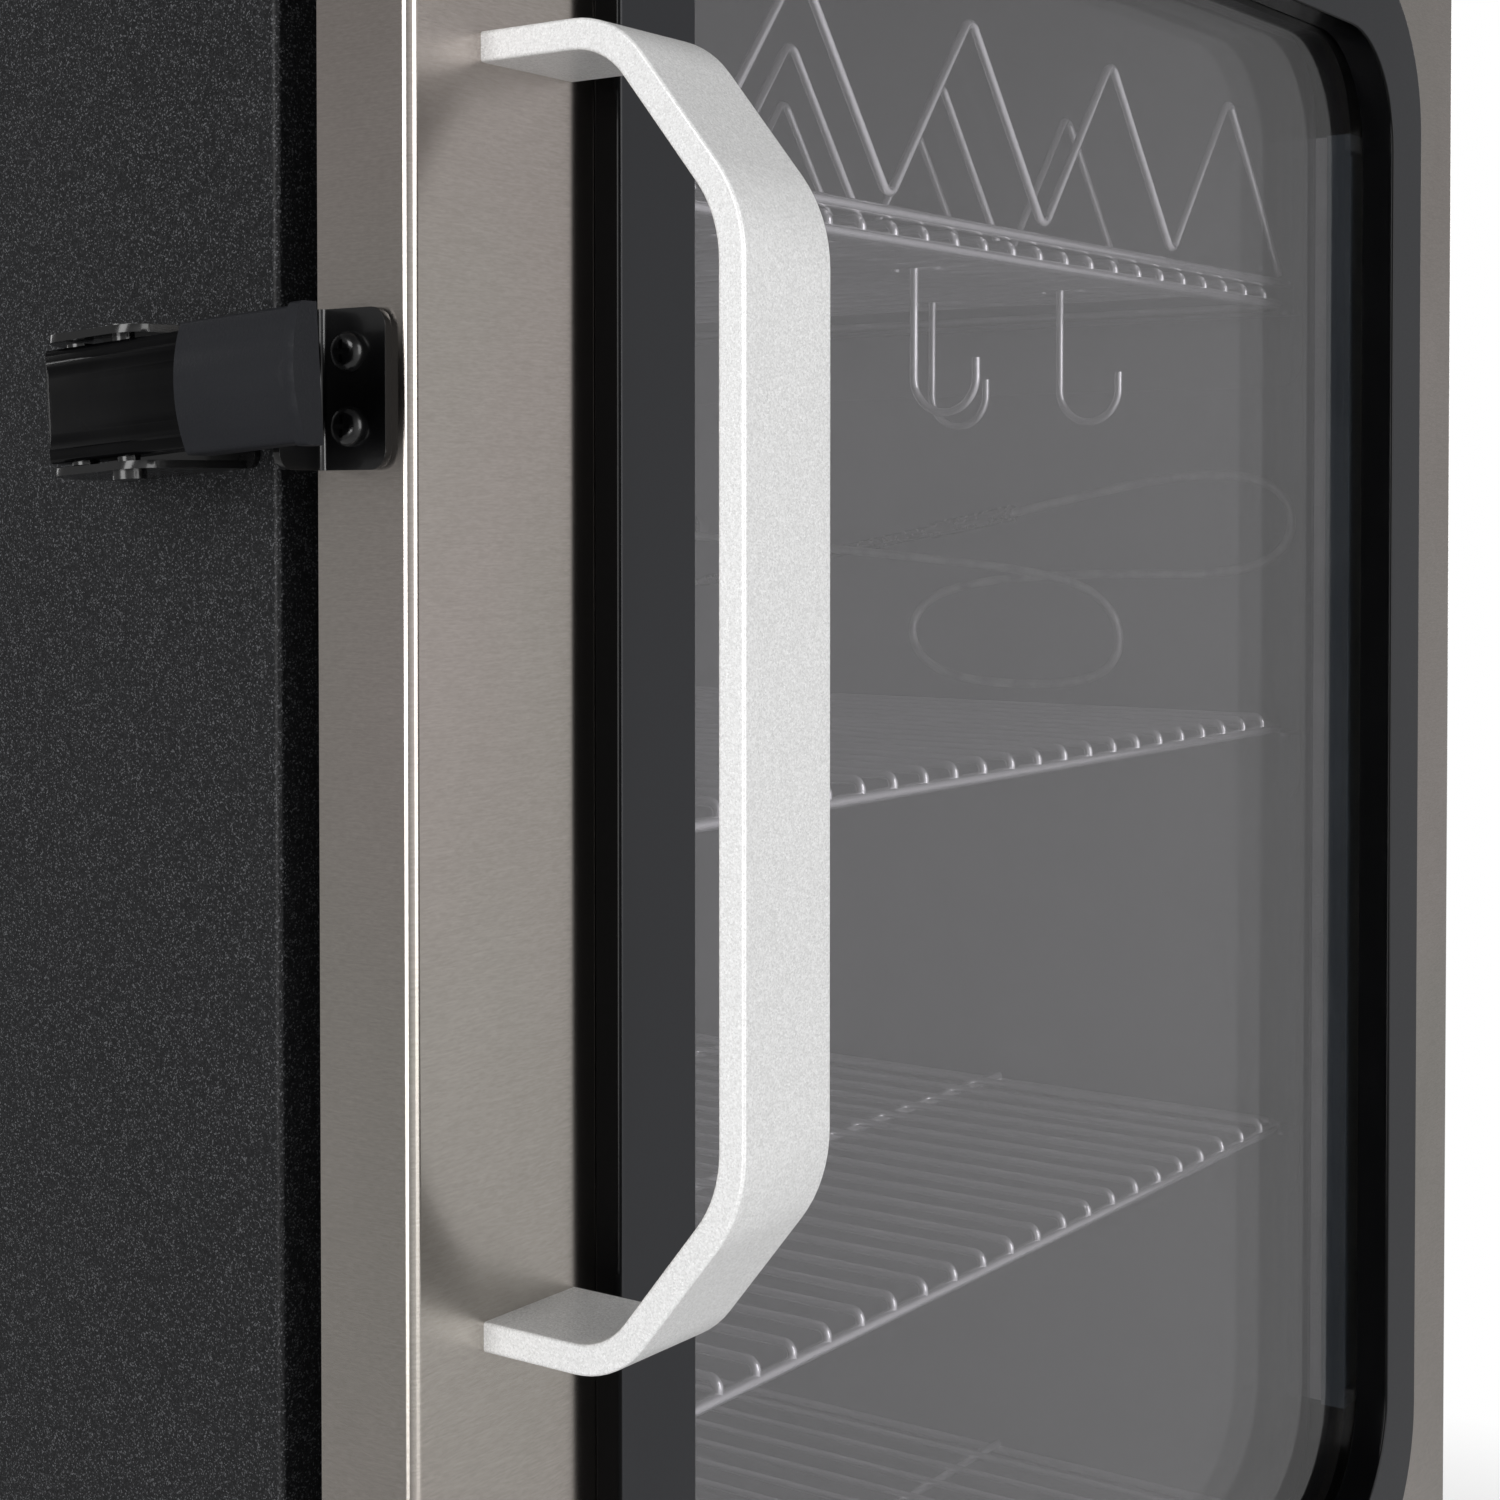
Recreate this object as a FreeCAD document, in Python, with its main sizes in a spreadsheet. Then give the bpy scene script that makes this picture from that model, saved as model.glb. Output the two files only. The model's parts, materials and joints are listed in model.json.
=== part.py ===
import FreeCAD, Part
import math
import os
import Sketcher

# Electric cabinet smoker: an insulated cabinet with a windowed door, wire racks, an electric
# element and a side latch. X runs to the right, Y into the cabinet, Z up, and the origin is on
# the ground under the middle of the whole object. Lengths are millimetres.

doc = FreeCAD.newDocument("cabinet_smoker")
sheet = doc.addObject("Spreadsheet::Sheet", "sizes")

DIMENSIONS = {
    # cabinet and door
    "door_width": 510, "door_height": 758, "door_bottom": 110, "door_front": -189, "door_depth": 22,
    "door_gap": 10, "cabinet_depth": 400, "cabinet_bottom": 50, "cabinet_top": 880,
    "skin_sheet": 1, "panel_sheet": 1.5, "liner_sheet": 1, "fold_radius": 2.2,
    # cooking chamber
    "chamber_width": 430, "chamber_depth": 365, "chamber_floor": 120, "chamber_roof": 840,
    # window
    "window_height_centre": 510, "window_aside": 2.7, "bezel_width": 414.4, "bezel_height": 507.2,
    "bezel_face": 24.1, "bezel_corner": 50, "bezel_proud": 6.1, "bezel_edge": 0.9, "pane_gap": 4.2,
    "outer_pane": 4,
    "inner_pane": 4, "spacer_depth": 7.6,
    # handle
    "handle_centre_x": -223.5, "handle_centre_z": 560, "strap_width": 26, "strap_thick": 5.5,
    "handle_half": 115, "handle_reach": 54.45, "handle_knee_out": 28.6, "handle_knee_up": 82.8,
    "knee_radius": 17, "elbow_radius": 24,
    # hinges
    "hinge_inset": 12, "hinge_setback": 10, "hinge_pin": 3, "hinge_plate": 3, "running_gap": 0.05,
    # latch
    "latch_height": 612.5, "latch_pivot_out": 20.5, "latch_pivot_back": 48.5, "latch_pin": 2,
    "latch_lean": 3.6, "hook_pin_out": 20, "hook_pin_back": 60.5, "hook_pin_radius": 1.2,
    "lever_half": 10.2, "lever_out": 25, "lever_wall": 1.4, "dome_ratio": 2.6, "dome_tip": 0.163,
    "dome_slope": 0.36, "ear_inner": 11.2, "ear_sheet": 1.4, "sleeve_wall": 1.2,
    "sleeve_bead": 0.5, "catch_rise": 1.5, "catch_sheet": 1.6, "catch_half": 14.1, "keeper_out": 12,
    # racks
    "rack_half_width": 207, "rack_front": 38, "rack_depth": 325, "rail_radius": 1.6,
    "wire_radius": 1.25, "wire_pitch": 15, "wire_count": 26, "wire_lift": 4.4,
    "top_rack_z": 660.8, "middle_rack_z": 522.5, "lower_rack_z": 390.8, "bottom_rack_z": 259,
    "rib_rod_lift": 6.9, "rib_pitch": 80, "rib_peak": 52, "rib_row_pitch": 57, "rib_bend": 3.2,
    "hook_clear": 0.35, "hook_drop": 45.5, "hook_opening": 21, "hook_tip": 30,
    "ledge_inward": 12, "ledge_drop": 24, "ledge_sheet": 1.2, "ledge_length": 300,
    "ledge_corner": 8, "rest_gap": 0.3,
    # temperature probe
    "probe_rod_radius": 2, "probe_lead_diameter": 3,
    # heating, smoke and pans
    "element_z": 132, "element_radius": 4, "loader_y": 60, "loader_z": 172, "loader_radius": 24,
    "sleeve_gap": 0.4, "pan_sheet": 1, "vent_radius": 24, "vent_x": -140, "vent_y": 130,
    # controls
    "housing_depth": 128, "housing_height": 54, "housing_nose": 14, "housing_slope": 34,
    "button_radius": 7,
    # feet
    "foot_radius": 19, "foot_height": 13, "foot_stem": 5, "foot_inset": 42,
}


class Size:
    """A length with its value now and the formula that ties it to the sheet."""

    def __init__(self, value, formula):
        self.value = value
        self.formula = formula

    def join(self, other, sign, value):
        return Size(value, f"({self.formula} {sign} {as_size(other).formula})")

    def __add__(self, other):
        return self.join(other, "+", self.value + as_size(other).value)

    def __sub__(self, other):
        return self.join(other, "-", self.value - as_size(other).value)

    def __mul__(self, other):
        return self.join(other, "*", self.value * as_size(other).value)

    def __truediv__(self, other):
        return self.join(other, "/", self.value / as_size(other).value)

    def __neg__(self):
        return Size(-self.value, f"(0 - {self.formula})")

    def __radd__(self, other):
        return as_size(other) + self

    def __rsub__(self, other):
        return as_size(other) - self

    def __rmul__(self, other):
        return as_size(other) * self


def as_size(length):
    return length if isinstance(length, Size) else Size(float(length), f"({float(length)})")


def fill_sheet():
    """Writes one alias and one plain number per row."""
    for row, (alias, number) in enumerate(DIMENSIONS.items(), start=1):
        sheet.set(f"A{row}", alias)
        sheet.set(f"B{row}", str(number))
        sheet.setAlias(f"B{row}", alias)
    doc.recompute()


def dim(alias):
    return Size(float(sheet.get(alias)), f"sizes.{alias}")


def bind(thing, slot, length):
    """Ties one property of an object to the sheet."""
    thing.setExpression(slot, as_size(length).formula)


def numbers(*lengths):
    return [as_size(length).value for length in lengths]


# ---------------------------------------------------------------- building blocks

def box(name, x, y, z):
    """A block between the low and high ends given along each axis."""
    block = doc.addObject("Part::Box", name)
    for axis, slot, (low, high) in zip("xyz", ("Length", "Width", "Height"), (x, y, z)):
        bind(block, slot, as_size(high) - low)
        bind(block, f"Placement.Base.{axis}", low)
    return block


AXIS_TURNS = {
    "x": FreeCAD.Rotation(FreeCAD.Vector(0, 1, 0), 90),
    "y": FreeCAD.Rotation(FreeCAD.Vector(1, 0, 0), -90),
    "z": FreeCAD.Rotation(),
}


def rod(name, start, axis, length, radius):
    """A round bar from its start point along one axis."""
    bar = doc.addObject("Part::Cylinder", name)
    bar.Placement.Rotation = AXIS_TURNS[axis]
    for letter, place in zip("xyz", start):
        bind(bar, f"Placement.Base.{letter}", place)
    bind(bar, "Radius", radius)
    bind(bar, "Height", length)
    return bar


def fuse(name, pieces):
    joined = doc.addObject("Part::MultiFuse", name)
    joined.Shapes = pieces
    return joined


def group(name, pieces):
    """Separate solids that share one node."""
    together = doc.addObject("Part::Compound", name)
    together.Links = pieces
    return together


def cut(name, base, tools):
    """Takes one or more tools away from a base."""
    trimmed = doc.addObject("Part::Cut", name)
    trimmed.Base = base
    trimmed.Tool = tools[0] if len(tools) == 1 else fuse(f"{name}_tools", tools)
    return trimmed


PLANES = {"xy": "XY_Plane", "xz": "XZ_Plane", "yz": "YZ_Plane"}


def new_body(name):
    return doc.addObject("PartDesign::Body", name)


def sketch_on(body, plane, offset=0):
    """An empty sketch on one of the body's own planes, moved along the plane's normal."""
    sketch = body.newObject("Sketcher::SketchObject", f"{body.Name}_sketch")
    for feature in body.Origin.OriginFeatures:
        if feature.Role == PLANES[plane]:
            sketch.AttachmentSupport = [(feature, "")]
    sketch.MapMode = "FlatFace"
    bind(sketch, "AttachmentOffset.Base.z", offset)
    return sketch


def rule(sketch, kind, *rest):
    return sketch.addConstraint(Sketcher.Constraint(kind, *rest))


def pin_point(sketch, element, end, x, y):
    """Holds one point of a sketch at a place given by the sheet."""
    for kind, length in (("DistanceX", x), ("DistanceY", y)):
        index = rule(sketch, kind, -1, 1, element, end, as_size(length).value)
        bind(sketch, f"Constraints[{index}]", length)


def round_corner(before, corner, after, radius):
    """Tangent points, centre and turn direction of the arc that rounds a corner."""
    back = (before - corner).normalize()
    ahead = (after - corner).normalize()
    opening = back.getAngle(ahead)
    reach = radius / math.tan(opening / 2)
    centre = corner + (back + ahead).normalize() * (radius / math.sin(opening / 2))
    turns_left = back.cross(ahead).z < 0
    return corner + back * reach, corner + ahead * reach, centre, turns_left


def outline(sketch, corners, closed=True):
    """Straight runs joined by tangent arcs. A corner is (x, y) or (x, y, radius)."""
    count = len(corners)
    spots = [FreeCAD.Vector(*numbers(c[0], c[1])) for c in corners]
    radii = [c[2] if len(c) > 2 else None for c in corners]
    arrive, leave, arcs = list(spots), list(spots), {}
    for i, radius in enumerate(radii):
        if radius is not None:
            around = (spots[i - 1], spots[i], spots[(i + 1) % count])
            arrive[i], leave[i], centre, left = round_corner(*around, as_size(radius).value)
            arcs[i] = (centre, left)
    runs = {}
    for i in range(count if closed else count - 1):
        line = Part.LineSegment(leave[i], arrive[(i + 1) % count])
        runs[i] = sketch.addGeometry(line, False)
    for i, (x, y) in enumerate((c[0], c[1]) for c in corners):
        before = runs.get((i - 1) % count if closed else i - 1)
        after = runs.get(i)
        if i in arcs:
            add_corner_arc(sketch, arcs[i], (arrive[i], leave[i]), radii[i], (before, after), (x, y))
        elif after is None:
            pin_point(sketch, before, 2, x, y)
        else:
            pin_point(sketch, after, 1, x, y)
            if before is not None:
                rule(sketch, "Coincident", before, 2, after, 1)


def add_corner_arc(sketch, arc, ends, radius, neighbours, corner):
    """One tangent arc between two runs whose extensions meet at the corner."""
    centre, left = arc
    first, last = ends if left else ends[::-1]
    angles = [math.atan2((p - centre).y, (p - centre).x) for p in (first, last)]
    circle = Part.Circle(centre, FreeCAD.Vector(0, 0, 1), as_size(radius).value)
    bend = sketch.addGeometry(Part.ArcOfCircle(circle, *angles), False)
    entry, way_out = (1, 2) if left else (2, 1)
    rule(sketch, "Tangent", neighbours[0], 2, bend, entry)
    rule(sketch, "Tangent", bend, way_out, neighbours[1], 1)
    index = rule(sketch, "Radius", bend, as_size(radius).value)
    bind(sketch, f"Constraints[{index}]", radius)
    point = sketch.addGeometry(Part.Point(FreeCAD.Vector(*numbers(*corner))), True)
    pin_point(sketch, point, 1, *corner)
    rule(sketch, "PointOnObject", point, 1, neighbours[0])
    rule(sketch, "PointOnObject", point, 1, neighbours[1])


def circle_at(sketch, x, y, radius):
    centre = FreeCAD.Vector(*numbers(x, y))
    ring = sketch.addGeometry(Part.Circle(centre, FreeCAD.Vector(0, 0, 1), as_size(radius).value))
    pin_point(sketch, ring, 3, x, y)
    index = rule(sketch, "Radius", ring, as_size(radius).value)
    bind(sketch, f"Constraints[{index}]", radius)


def rectangle(x, y, radius=None):
    """Corners of a rectangle, all rounded by the same radius if one is given."""
    corners = [(x[0], y[0]), (x[1], y[0]), (x[1], y[1]), (x[0], y[1])]
    return corners if radius is None else [(*corner, radius) for corner in corners]


def span_on(plane, low, high):
    """Where a sketch stands, and how far it is padded, to fill low to high.
    The normal of the xz plane points along -Y, so its sketch stands at the far end."""
    start = -as_size(high) if plane == "xz" else as_size(low)
    return start, as_size(high) - low


def pad(body, plane, low, high, outlines, circles=()):
    """Adds the area between closed outlines, from low to high along the plane's axis."""
    start, depth = span_on(plane, low, high)
    sketch = sketch_on(body, plane, start)
    for corners in outlines:
        outline(sketch, corners)
    for ring in circles:
        circle_at(sketch, *ring)
    feature = body.newObject("PartDesign::Pad", f"{body.Name}_pad")
    feature.Profile = sketch
    bind(feature, "Length", depth)
    return feature


def pocket(body, plane, low, high, outlines, circles=()):
    """Cuts the area of closed outlines away, from low to high along the plane's axis."""
    start, depth = span_on(plane, low, high)
    sketch = sketch_on(body, plane, start)
    for corners in outlines:
        outline(sketch, corners)
    for ring in circles:
        circle_at(sketch, *ring)
    feature = body.newObject("PartDesign::Pocket", f"{body.Name}_pocket")
    feature.Profile = sketch
    feature.Reversed = True
    bind(feature, "Length", depth)
    return feature


def fillet(body, picks, radius):
    """Rounds the edges of the body's tip that the test picks."""
    doc.recompute()
    tip = body.Tip
    names = [f"Edge{i}" for i, edge in enumerate(tip.Shape.Edges, start=1) if picks(edge)]
    feature = body.newObject("PartDesign::Fillet", f"{body.Name}_fillet")
    feature.Base = (tip, names)
    bind(feature, "Radius", radius)
    return feature


def pipe(body, path_plane, path_offset, path, profile_plane, profile_offset, profile, closed=False):
    """Sweeps a profile, a circle (x, y, radius) or an outline, along a path of runs and arcs."""
    spine = sketch_on(body, path_plane, path_offset)
    outline(spine, path, closed)
    section = sketch_on(body, profile_plane, profile_offset)
    if isinstance(profile, tuple):
        circle_at(section, *profile)
    else:
        outline(section, profile)
    sweep = body.newObject("PartDesign::AdditivePipe", f"{body.Name}_sweep")
    sweep.Profile = section
    sweep.Spine = spine
    return sweep


def at_y(level):
    """Picks edges that lie in the plane at this depth."""
    wanted = as_size(level).value
    return lambda edge: abs(edge.BoundBox.YMin - wanted) + abs(edge.BoundBox.YMax - wanted) < 0.01


def along(axis, test=lambda centre: True):
    """Picks straight edges along one axis whose middle passes the test."""
    lengths = {"x": "XLength", "y": "YLength", "z": "ZLength"}
    others = [lengths[a] for a in "xyz" if a != axis]

    def picks(edge):
        extent = edge.BoundBox
        flat = all(getattr(extent, name) < 0.01 for name in others)
        return flat and getattr(extent, lengths[axis]) > 0.01 and test(extent.Center)

    return picks


fill_sheet()

# ---------------------------------------------------------------- shared planes

HALF = dim("door_width") / 2
FRONT = dim("door_front")
DOOR_BACK = FRONT + dim("door_depth")
BODY_FRONT = DOOR_BACK + dim("door_gap")
BODY_BACK = BODY_FRONT + dim("cabinet_depth")
BOTTOM = dim("cabinet_bottom")
TOP = dim("cabinet_top")
DOOR_LOW = dim("door_bottom")
DOOR_HIGH = DOOR_LOW + dim("door_height")
PANEL = dim("panel_sheet")
LINER = dim("liner_sheet")
SKIN = dim("skin_sheet")
CHAMBER = dim("chamber_width") / 2
FLOOR = dim("chamber_floor")
ROOF = dim("chamber_roof")
CHAMBER_BACK = BODY_FRONT + dim("chamber_depth")
RACK_FRONT = FRONT + dim("rack_front")
WINDOW_X = dim("window_aside")
WINDOW_Z = dim("window_height_centre")
LATCH_Z = dim("latch_height")
CATCH_Z = LATCH_Z + dim("catch_rise")
LOADER_Y = dim("loader_y")
LOADER_Z = dim("loader_z")
SLEEVE_BORE = dim("loader_radius") + dim("sleeve_gap")
SLEEVE_OUTER = SLEEVE_BORE + 2


# ---------------------------------------------------------------- cabinet shell

def folded_side_panel(name, side):
    """Outer side sheet with a return flange folded in along its front edge."""
    body = new_body(name)
    outer, flange = HALF * side, (HALF - 11) * side
    inner = (HALF - PANEL) * side
    corners = [(outer, BODY_FRONT), (outer, BODY_BACK), (inner, BODY_BACK),
               (inner, BODY_FRONT + PANEL), (flange, BODY_FRONT + PANEL), (flange, BODY_FRONT)]
    pad(body, "xy", BOTTOM, TOP - PANEL, [corners])
    edge_x, edge_y = numbers(outer, BODY_FRONT)
    fillet(body, along("z", lambda c: abs(c.x - edge_x) + abs(c.y - edge_y) < 0.01), 1.2)
    return body


def through_wall(name, x, radius):
    """Cylinder that opens one wall layer for the chip loader's sleeve."""
    return rod(name, (x[0], LOADER_Y, LOADER_Z), "x", as_size(x[1]) - x[0], radius)


def cabinet_shell():
    folded_side_panel("left_side_panel", -1)
    right = folded_side_panel("right_side_panel_sheet", 1)
    cut("right_side_panel", right,
        [through_wall("right_side_panel_hole", (HALF - 20, HALF + 5), SLEEVE_OUTER)])
    vent_hole = rod("top_panel_hole", (dim("vent_x"), dim("vent_y"), TOP - 5), "z", 10,
                    dim("vent_radius") + 2)
    cut("top_panel", box("top_panel_sheet", (-HALF, HALF), (BODY_FRONT, BODY_BACK),
                         (TOP - PANEL, TOP)), [vent_hole])
    inlet_hole = box("rear_panel_hole", (INLET_X - 14, INLET_X + 14), (BODY_BACK - 9, BODY_BACK + 3),
                     (INLET_Z - 10.5, INLET_Z + 10.5))
    cut("rear_panel", box("rear_panel_sheet", (PANEL - HALF, HALF - PANEL),
                          (BODY_BACK - PANEL, BODY_BACK), (BOTTOM + PANEL, TOP - PANEL)),
        [inlet_hole])
    front_frame()
    chamber_liner()
    wall_insulation()


def front_frame():
    """Flat bars round the chamber mouth, which the door's gasket seals on."""
    side_edge = HALF - 11
    y = (BODY_FRONT, BODY_FRONT + PANEL)
    bars = [
        box("frame_left", (-side_edge, -CHAMBER), y, (BOTTOM, TOP - PANEL)),
        box("frame_right", (CHAMBER, side_edge), y, (BOTTOM, TOP - PANEL)),
        box("frame_low", (-CHAMBER, CHAMBER), y, (BOTTOM, FLOOR)),
        box("frame_high", (-CHAMBER, CHAMBER), y, (ROOF, TOP - PANEL)),
    ]
    group("front_frame", bars)


def chamber_liner():
    """Five plates round the cooking chamber, open at the front and where pipes pass."""
    y = (BODY_FRONT + PANEL, CHAMBER_BACK)
    low, high = FLOOR - LINER, ROOF + LINER
    right = cut("liner_right", box("liner_right_sheet", (CHAMBER, CHAMBER + LINER), y, (low, high)), [
        through_wall("liner_right_hole", (CHAMBER - 5, CHAMBER + 5), SLEEVE_OUTER),
        rod("liner_jack_hole", (CHAMBER - 5, JACK_Y, JACK_Z), "x", 10, JACK_RADIUS)])
    roof = cut("liner_roof", box("liner_roof_sheet", (-CHAMBER, CHAMBER), y, (ROOF, high)), [
        rod("liner_vent_hole", (dim("vent_x"), dim("vent_y"), ROOF - 5), "z", 10,
            dim("vent_radius") + 2)])
    rear_holes = [
        rod(f"liner_element_hole_{side}", (ELEMENT_X + ELEMENT_HALF * sign, CHAMBER_BACK - 5,
                                           dim("element_z")), "y", 10, dim("element_radius") + 0.2)
        for side, sign in (("left", -1), ("right", 1))]
    rear_holes.append(rod("liner_sensor_hole", (SENSOR_X, CHAMBER_BACK - 5, SENSOR_Z), "y", 10, 2.6))
    rear = cut("liner_rear", box("liner_rear_sheet", (-CHAMBER - LINER, CHAMBER + LINER),
                                 (CHAMBER_BACK, CHAMBER_BACK + LINER), (low, high)), rear_holes)
    group("chamber_liner", [
        box("liner_left", (-CHAMBER - LINER, -CHAMBER), y, (low, high)), right,
        box("liner_floor", (-CHAMBER, CHAMBER), y, (low, FLOOR)), roof, rear])


def wall_insulation():
    """Mineral wool slabs between the liner and the outer sheets."""
    gap = 1
    y = (BODY_FRONT + 3, CHAMBER_BACK)
    outer, inner = HALF - PANEL - gap, CHAMBER + LINER + gap
    z = (FLOOR - LINER - gap - 14, ROOF + LINER + gap + 14)
    right = cut("wool_right", box("wool_right_slab", (inner, outer), y, z), [
        through_wall("wool_right_hole", (CHAMBER, HALF), SLEEVE_OUTER + 1),
        rod("wool_jack_hole", (CHAMBER, JACK_Y, JACK_Z), "x", 30, JACK_RADIUS + 1)])
    roof = cut("wool_roof", box("wool_roof_slab", (-inner, inner), y, (ROOF + LINER + gap, z[1])), [
        rod("wool_vent_hole", (dim("vent_x"), dim("vent_y"), ROOF), "z", 30,
            dim("vent_radius") + 3)])
    rear_y = (CHAMBER_BACK + LINER + gap, CHAMBER_BACK + LINER + gap + 18)
    rear = cut("wool_rear", box("wool_rear_slab", (-outer, outer), rear_y, z), [
        box("wool_element_notch", (ELEMENT_X - ELEMENT_HALF - 12, ELEMENT_X + ELEMENT_HALF + 12),
            (CHAMBER_BACK, BODY_BACK), (FLOOR - 20, dim("element_z") + 12)),
        rod("wool_sensor_hole", (SENSOR_X, CHAMBER_BACK, SENSOR_Z), "y", 30, 4)])
    group("wall_insulation", [
        box("wool_left", (-outer, -inner), y, z), right,
        box("wool_floor", (-inner, inner), y, (z[0], FLOOR - LINER - gap)), roof, rear])


# ---------------------------------------------------------------- door

def window_frame_corners(grow, radius):
    """Rounded outline round the window: the bezel's inner edge moved out by a distance."""
    half_w = dim("bezel_width") / 2 - dim("bezel_face") + grow
    half_h = dim("bezel_height") / 2 - dim("bezel_face") + grow
    return rectangle((WINDOW_X - half_w, WINDOW_X + half_w),
                     (WINDOW_Z - half_h, WINDOW_Z + half_h), radius)


def door_skin():
    """Folded stainless pan: front face, four sides, a window opening and pivot holes."""
    body = new_body("door_skin")
    pad(body, "xz", FRONT, DOOR_BACK, [rectangle((-HALF, HALF), (DOOR_LOW, DOOR_HIGH))])
    fillet(body, at_y(FRONT), dim("fold_radius"))
    doc.recompute()
    pocket(body, "xz", FRONT + SKIN, DOOR_BACK,
           [rectangle((SKIN - HALF, HALF - SKIN), (DOOR_LOW + SKIN, DOOR_HIGH - SKIN))])
    pocket(body, "xz", FRONT - 1, FRONT + SKIN + 1, [window_frame_corners(7, 41)])
    pocket(body, "xy", DOOR_LOW - 1, DOOR_HIGH + 1, [],
           [(HINGE_X, HINGE_Y, dim("hinge_pin") + dim("running_gap"))])
    pocket(body, "yz", -HALF - 1, -HALF + SKIN + 1, [], CATCH_HOLES)
    pocket(body, "xz", FRONT - 1, FRONT + SKIN + 1, [],
           [(dim("handle_centre_x") + x, dim("handle_centre_z") + dim("handle_half") * sign, 1.75)
            for x in (-6.5, 6.5) for sign in (-1, 1)])


def ring_of_boxes(name, x, z, y, width):
    """Four straight bars round a rectangle, as separate solids."""
    bars = [
        box(f"{name}_left", (x[0], x[0] + width), y, z),
        box(f"{name}_right", (x[1] - width, x[1]), y, z),
        box(f"{name}_low", (x[0] + width, x[1] - width), y, (z[0], z[0] + width)),
        box(f"{name}_high", (x[0] + width, x[1] - width), y, (z[1] - width, z[1])),
    ]
    return group(name, bars)


def window():
    """Bezel, two panes and the ring that holds them apart."""
    bezel = new_body("window_bezel")
    proud = FRONT - dim("bezel_proud")
    pad(bezel, "xz", proud, FRONT,
        [window_frame_corners(dim("bezel_face"), dim("bezel_corner")), window_frame_corners(0, 34)])
    fillet(bezel, at_y(proud), dim("bezel_edge"))
    pad(bezel, "xz", FRONT, FRONT + dim("pane_gap"),
        [window_frame_corners(6, 40), window_frame_corners(0, 34)])
    outer_y = FRONT + dim("pane_gap") + 0.1
    pane = new_body("outer_glass")
    pad(pane, "xz", outer_y, outer_y + dim("outer_pane"), [window_frame_corners(12, 46)])
    spacer_y = outer_y + dim("outer_pane")
    inner_y = spacer_y + dim("spacer_depth")
    spacer = new_body("glass_spacer")
    pad(spacer, "xz", spacer_y, inner_y, [window_frame_corners(12, 46), window_frame_corners(0, 28)])
    inside = new_body("inner_glass")
    pad(inside, "xz", inner_y, inner_y + dim("inner_pane"), [window_frame_corners(3, 27.8)])
    retainer = new_body("inner_glass_frame")
    pad(retainer, "xz", inner_y, DOOR_BACK - LINER,
        [window_frame_corners(12, 10), window_frame_corners(3.2, 28)])
    liner = new_body("door_liner")
    pad(liner, "xz", DOOR_BACK - LINER, DOOR_BACK,
        [rectangle((SKIN - HALF, HALF - SKIN), (DOOR_LOW + SKIN, DOOR_HIGH - SKIN)),
         window_frame_corners(1, 6)])


def door_filling():
    """Insulation round the window and the gasket on the door's back."""
    y = (FRONT + SKIN + 3, DOOR_BACK - LINER - 0.5)
    half_w = dim("bezel_width") / 2 - dim("bezel_face") + 14
    half_h = dim("bezel_height") / 2 - dim("bezel_face") + 14
    left, right = WINDOW_X - half_w, WINDOW_X + half_w
    x_out = HALF - SKIN - 22
    z_low, z_high = DOOR_LOW + SKIN + 1, DOOR_HIGH - SKIN - 1
    group("door_insulation", [
        box("fill_left", (-x_out, left), y, (z_low, z_high)),
        box("fill_right", (right, x_out), y, (z_low, z_high)),
        box("fill_low", (left, right), y, (z_low, WINDOW_Z - half_h)),
        box("fill_high", (left, right), y, (WINDOW_Z + half_h, z_high))])
    ring_of_boxes("door_gasket", (-HALF + 12, HALF - 12), (DOOR_LOW + 1, DOOR_HIGH - 9),
                  (DOOR_BACK, BODY_FRONT - dim("rest_gap")), 9)


def door_handle():
    """Flat strap bent into a bow, and the screws that hold its legs from inside the door."""
    body = new_body("door_handle")
    knee, up = -dim("handle_knee_out"), dim("handle_knee_up")
    reach, half = -dim("handle_reach"), dim("handle_half")
    path = [(0, half), (knee, half, dim("knee_radius")), (reach, up, dim("elbow_radius")),
            (reach, -up, dim("elbow_radius")), (knee, -half, dim("knee_radius")), (0, -half)]
    wide, thick = dim("strap_width") / 2, dim("strap_thick") / 2
    section = rectangle((-wide, wide), (half - thick, half + thick), 0.6)
    pipe(body, "yz", 0, path, "xz", 0, section)
    pocket(body, "xz", -11, 1, [], [(x, z, 1.75) for x in (-6.5, 6.5) for z in (-half, half)])
    bind(body, "Placement.Base.x", dim("handle_centre_x"))
    bind(body, "Placement.Base.y", FRONT)
    bind(body, "Placement.Base.z", dim("handle_centre_z"))
    screws = []
    for level, sign in (("low", -1), ("high", 1)):
        z = dim("handle_centre_z") + half * sign
        for side, offset in (("left", -6.5), ("right", 6.5)):
            name = f"handle_screw_{level}_{side}"
            x = dim("handle_centre_x") + offset
            head = rod(f"{name}_head", (x, FRONT + SKIN, z), "y", 2.6, 3.3)
            shank = rod(f"{name}_shank", (x, FRONT - 9, z), "y", 9 + SKIN, 1.7)
            screws.append(fuse(name, [head, shank]))
    group("handle_screws", screws)


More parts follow.
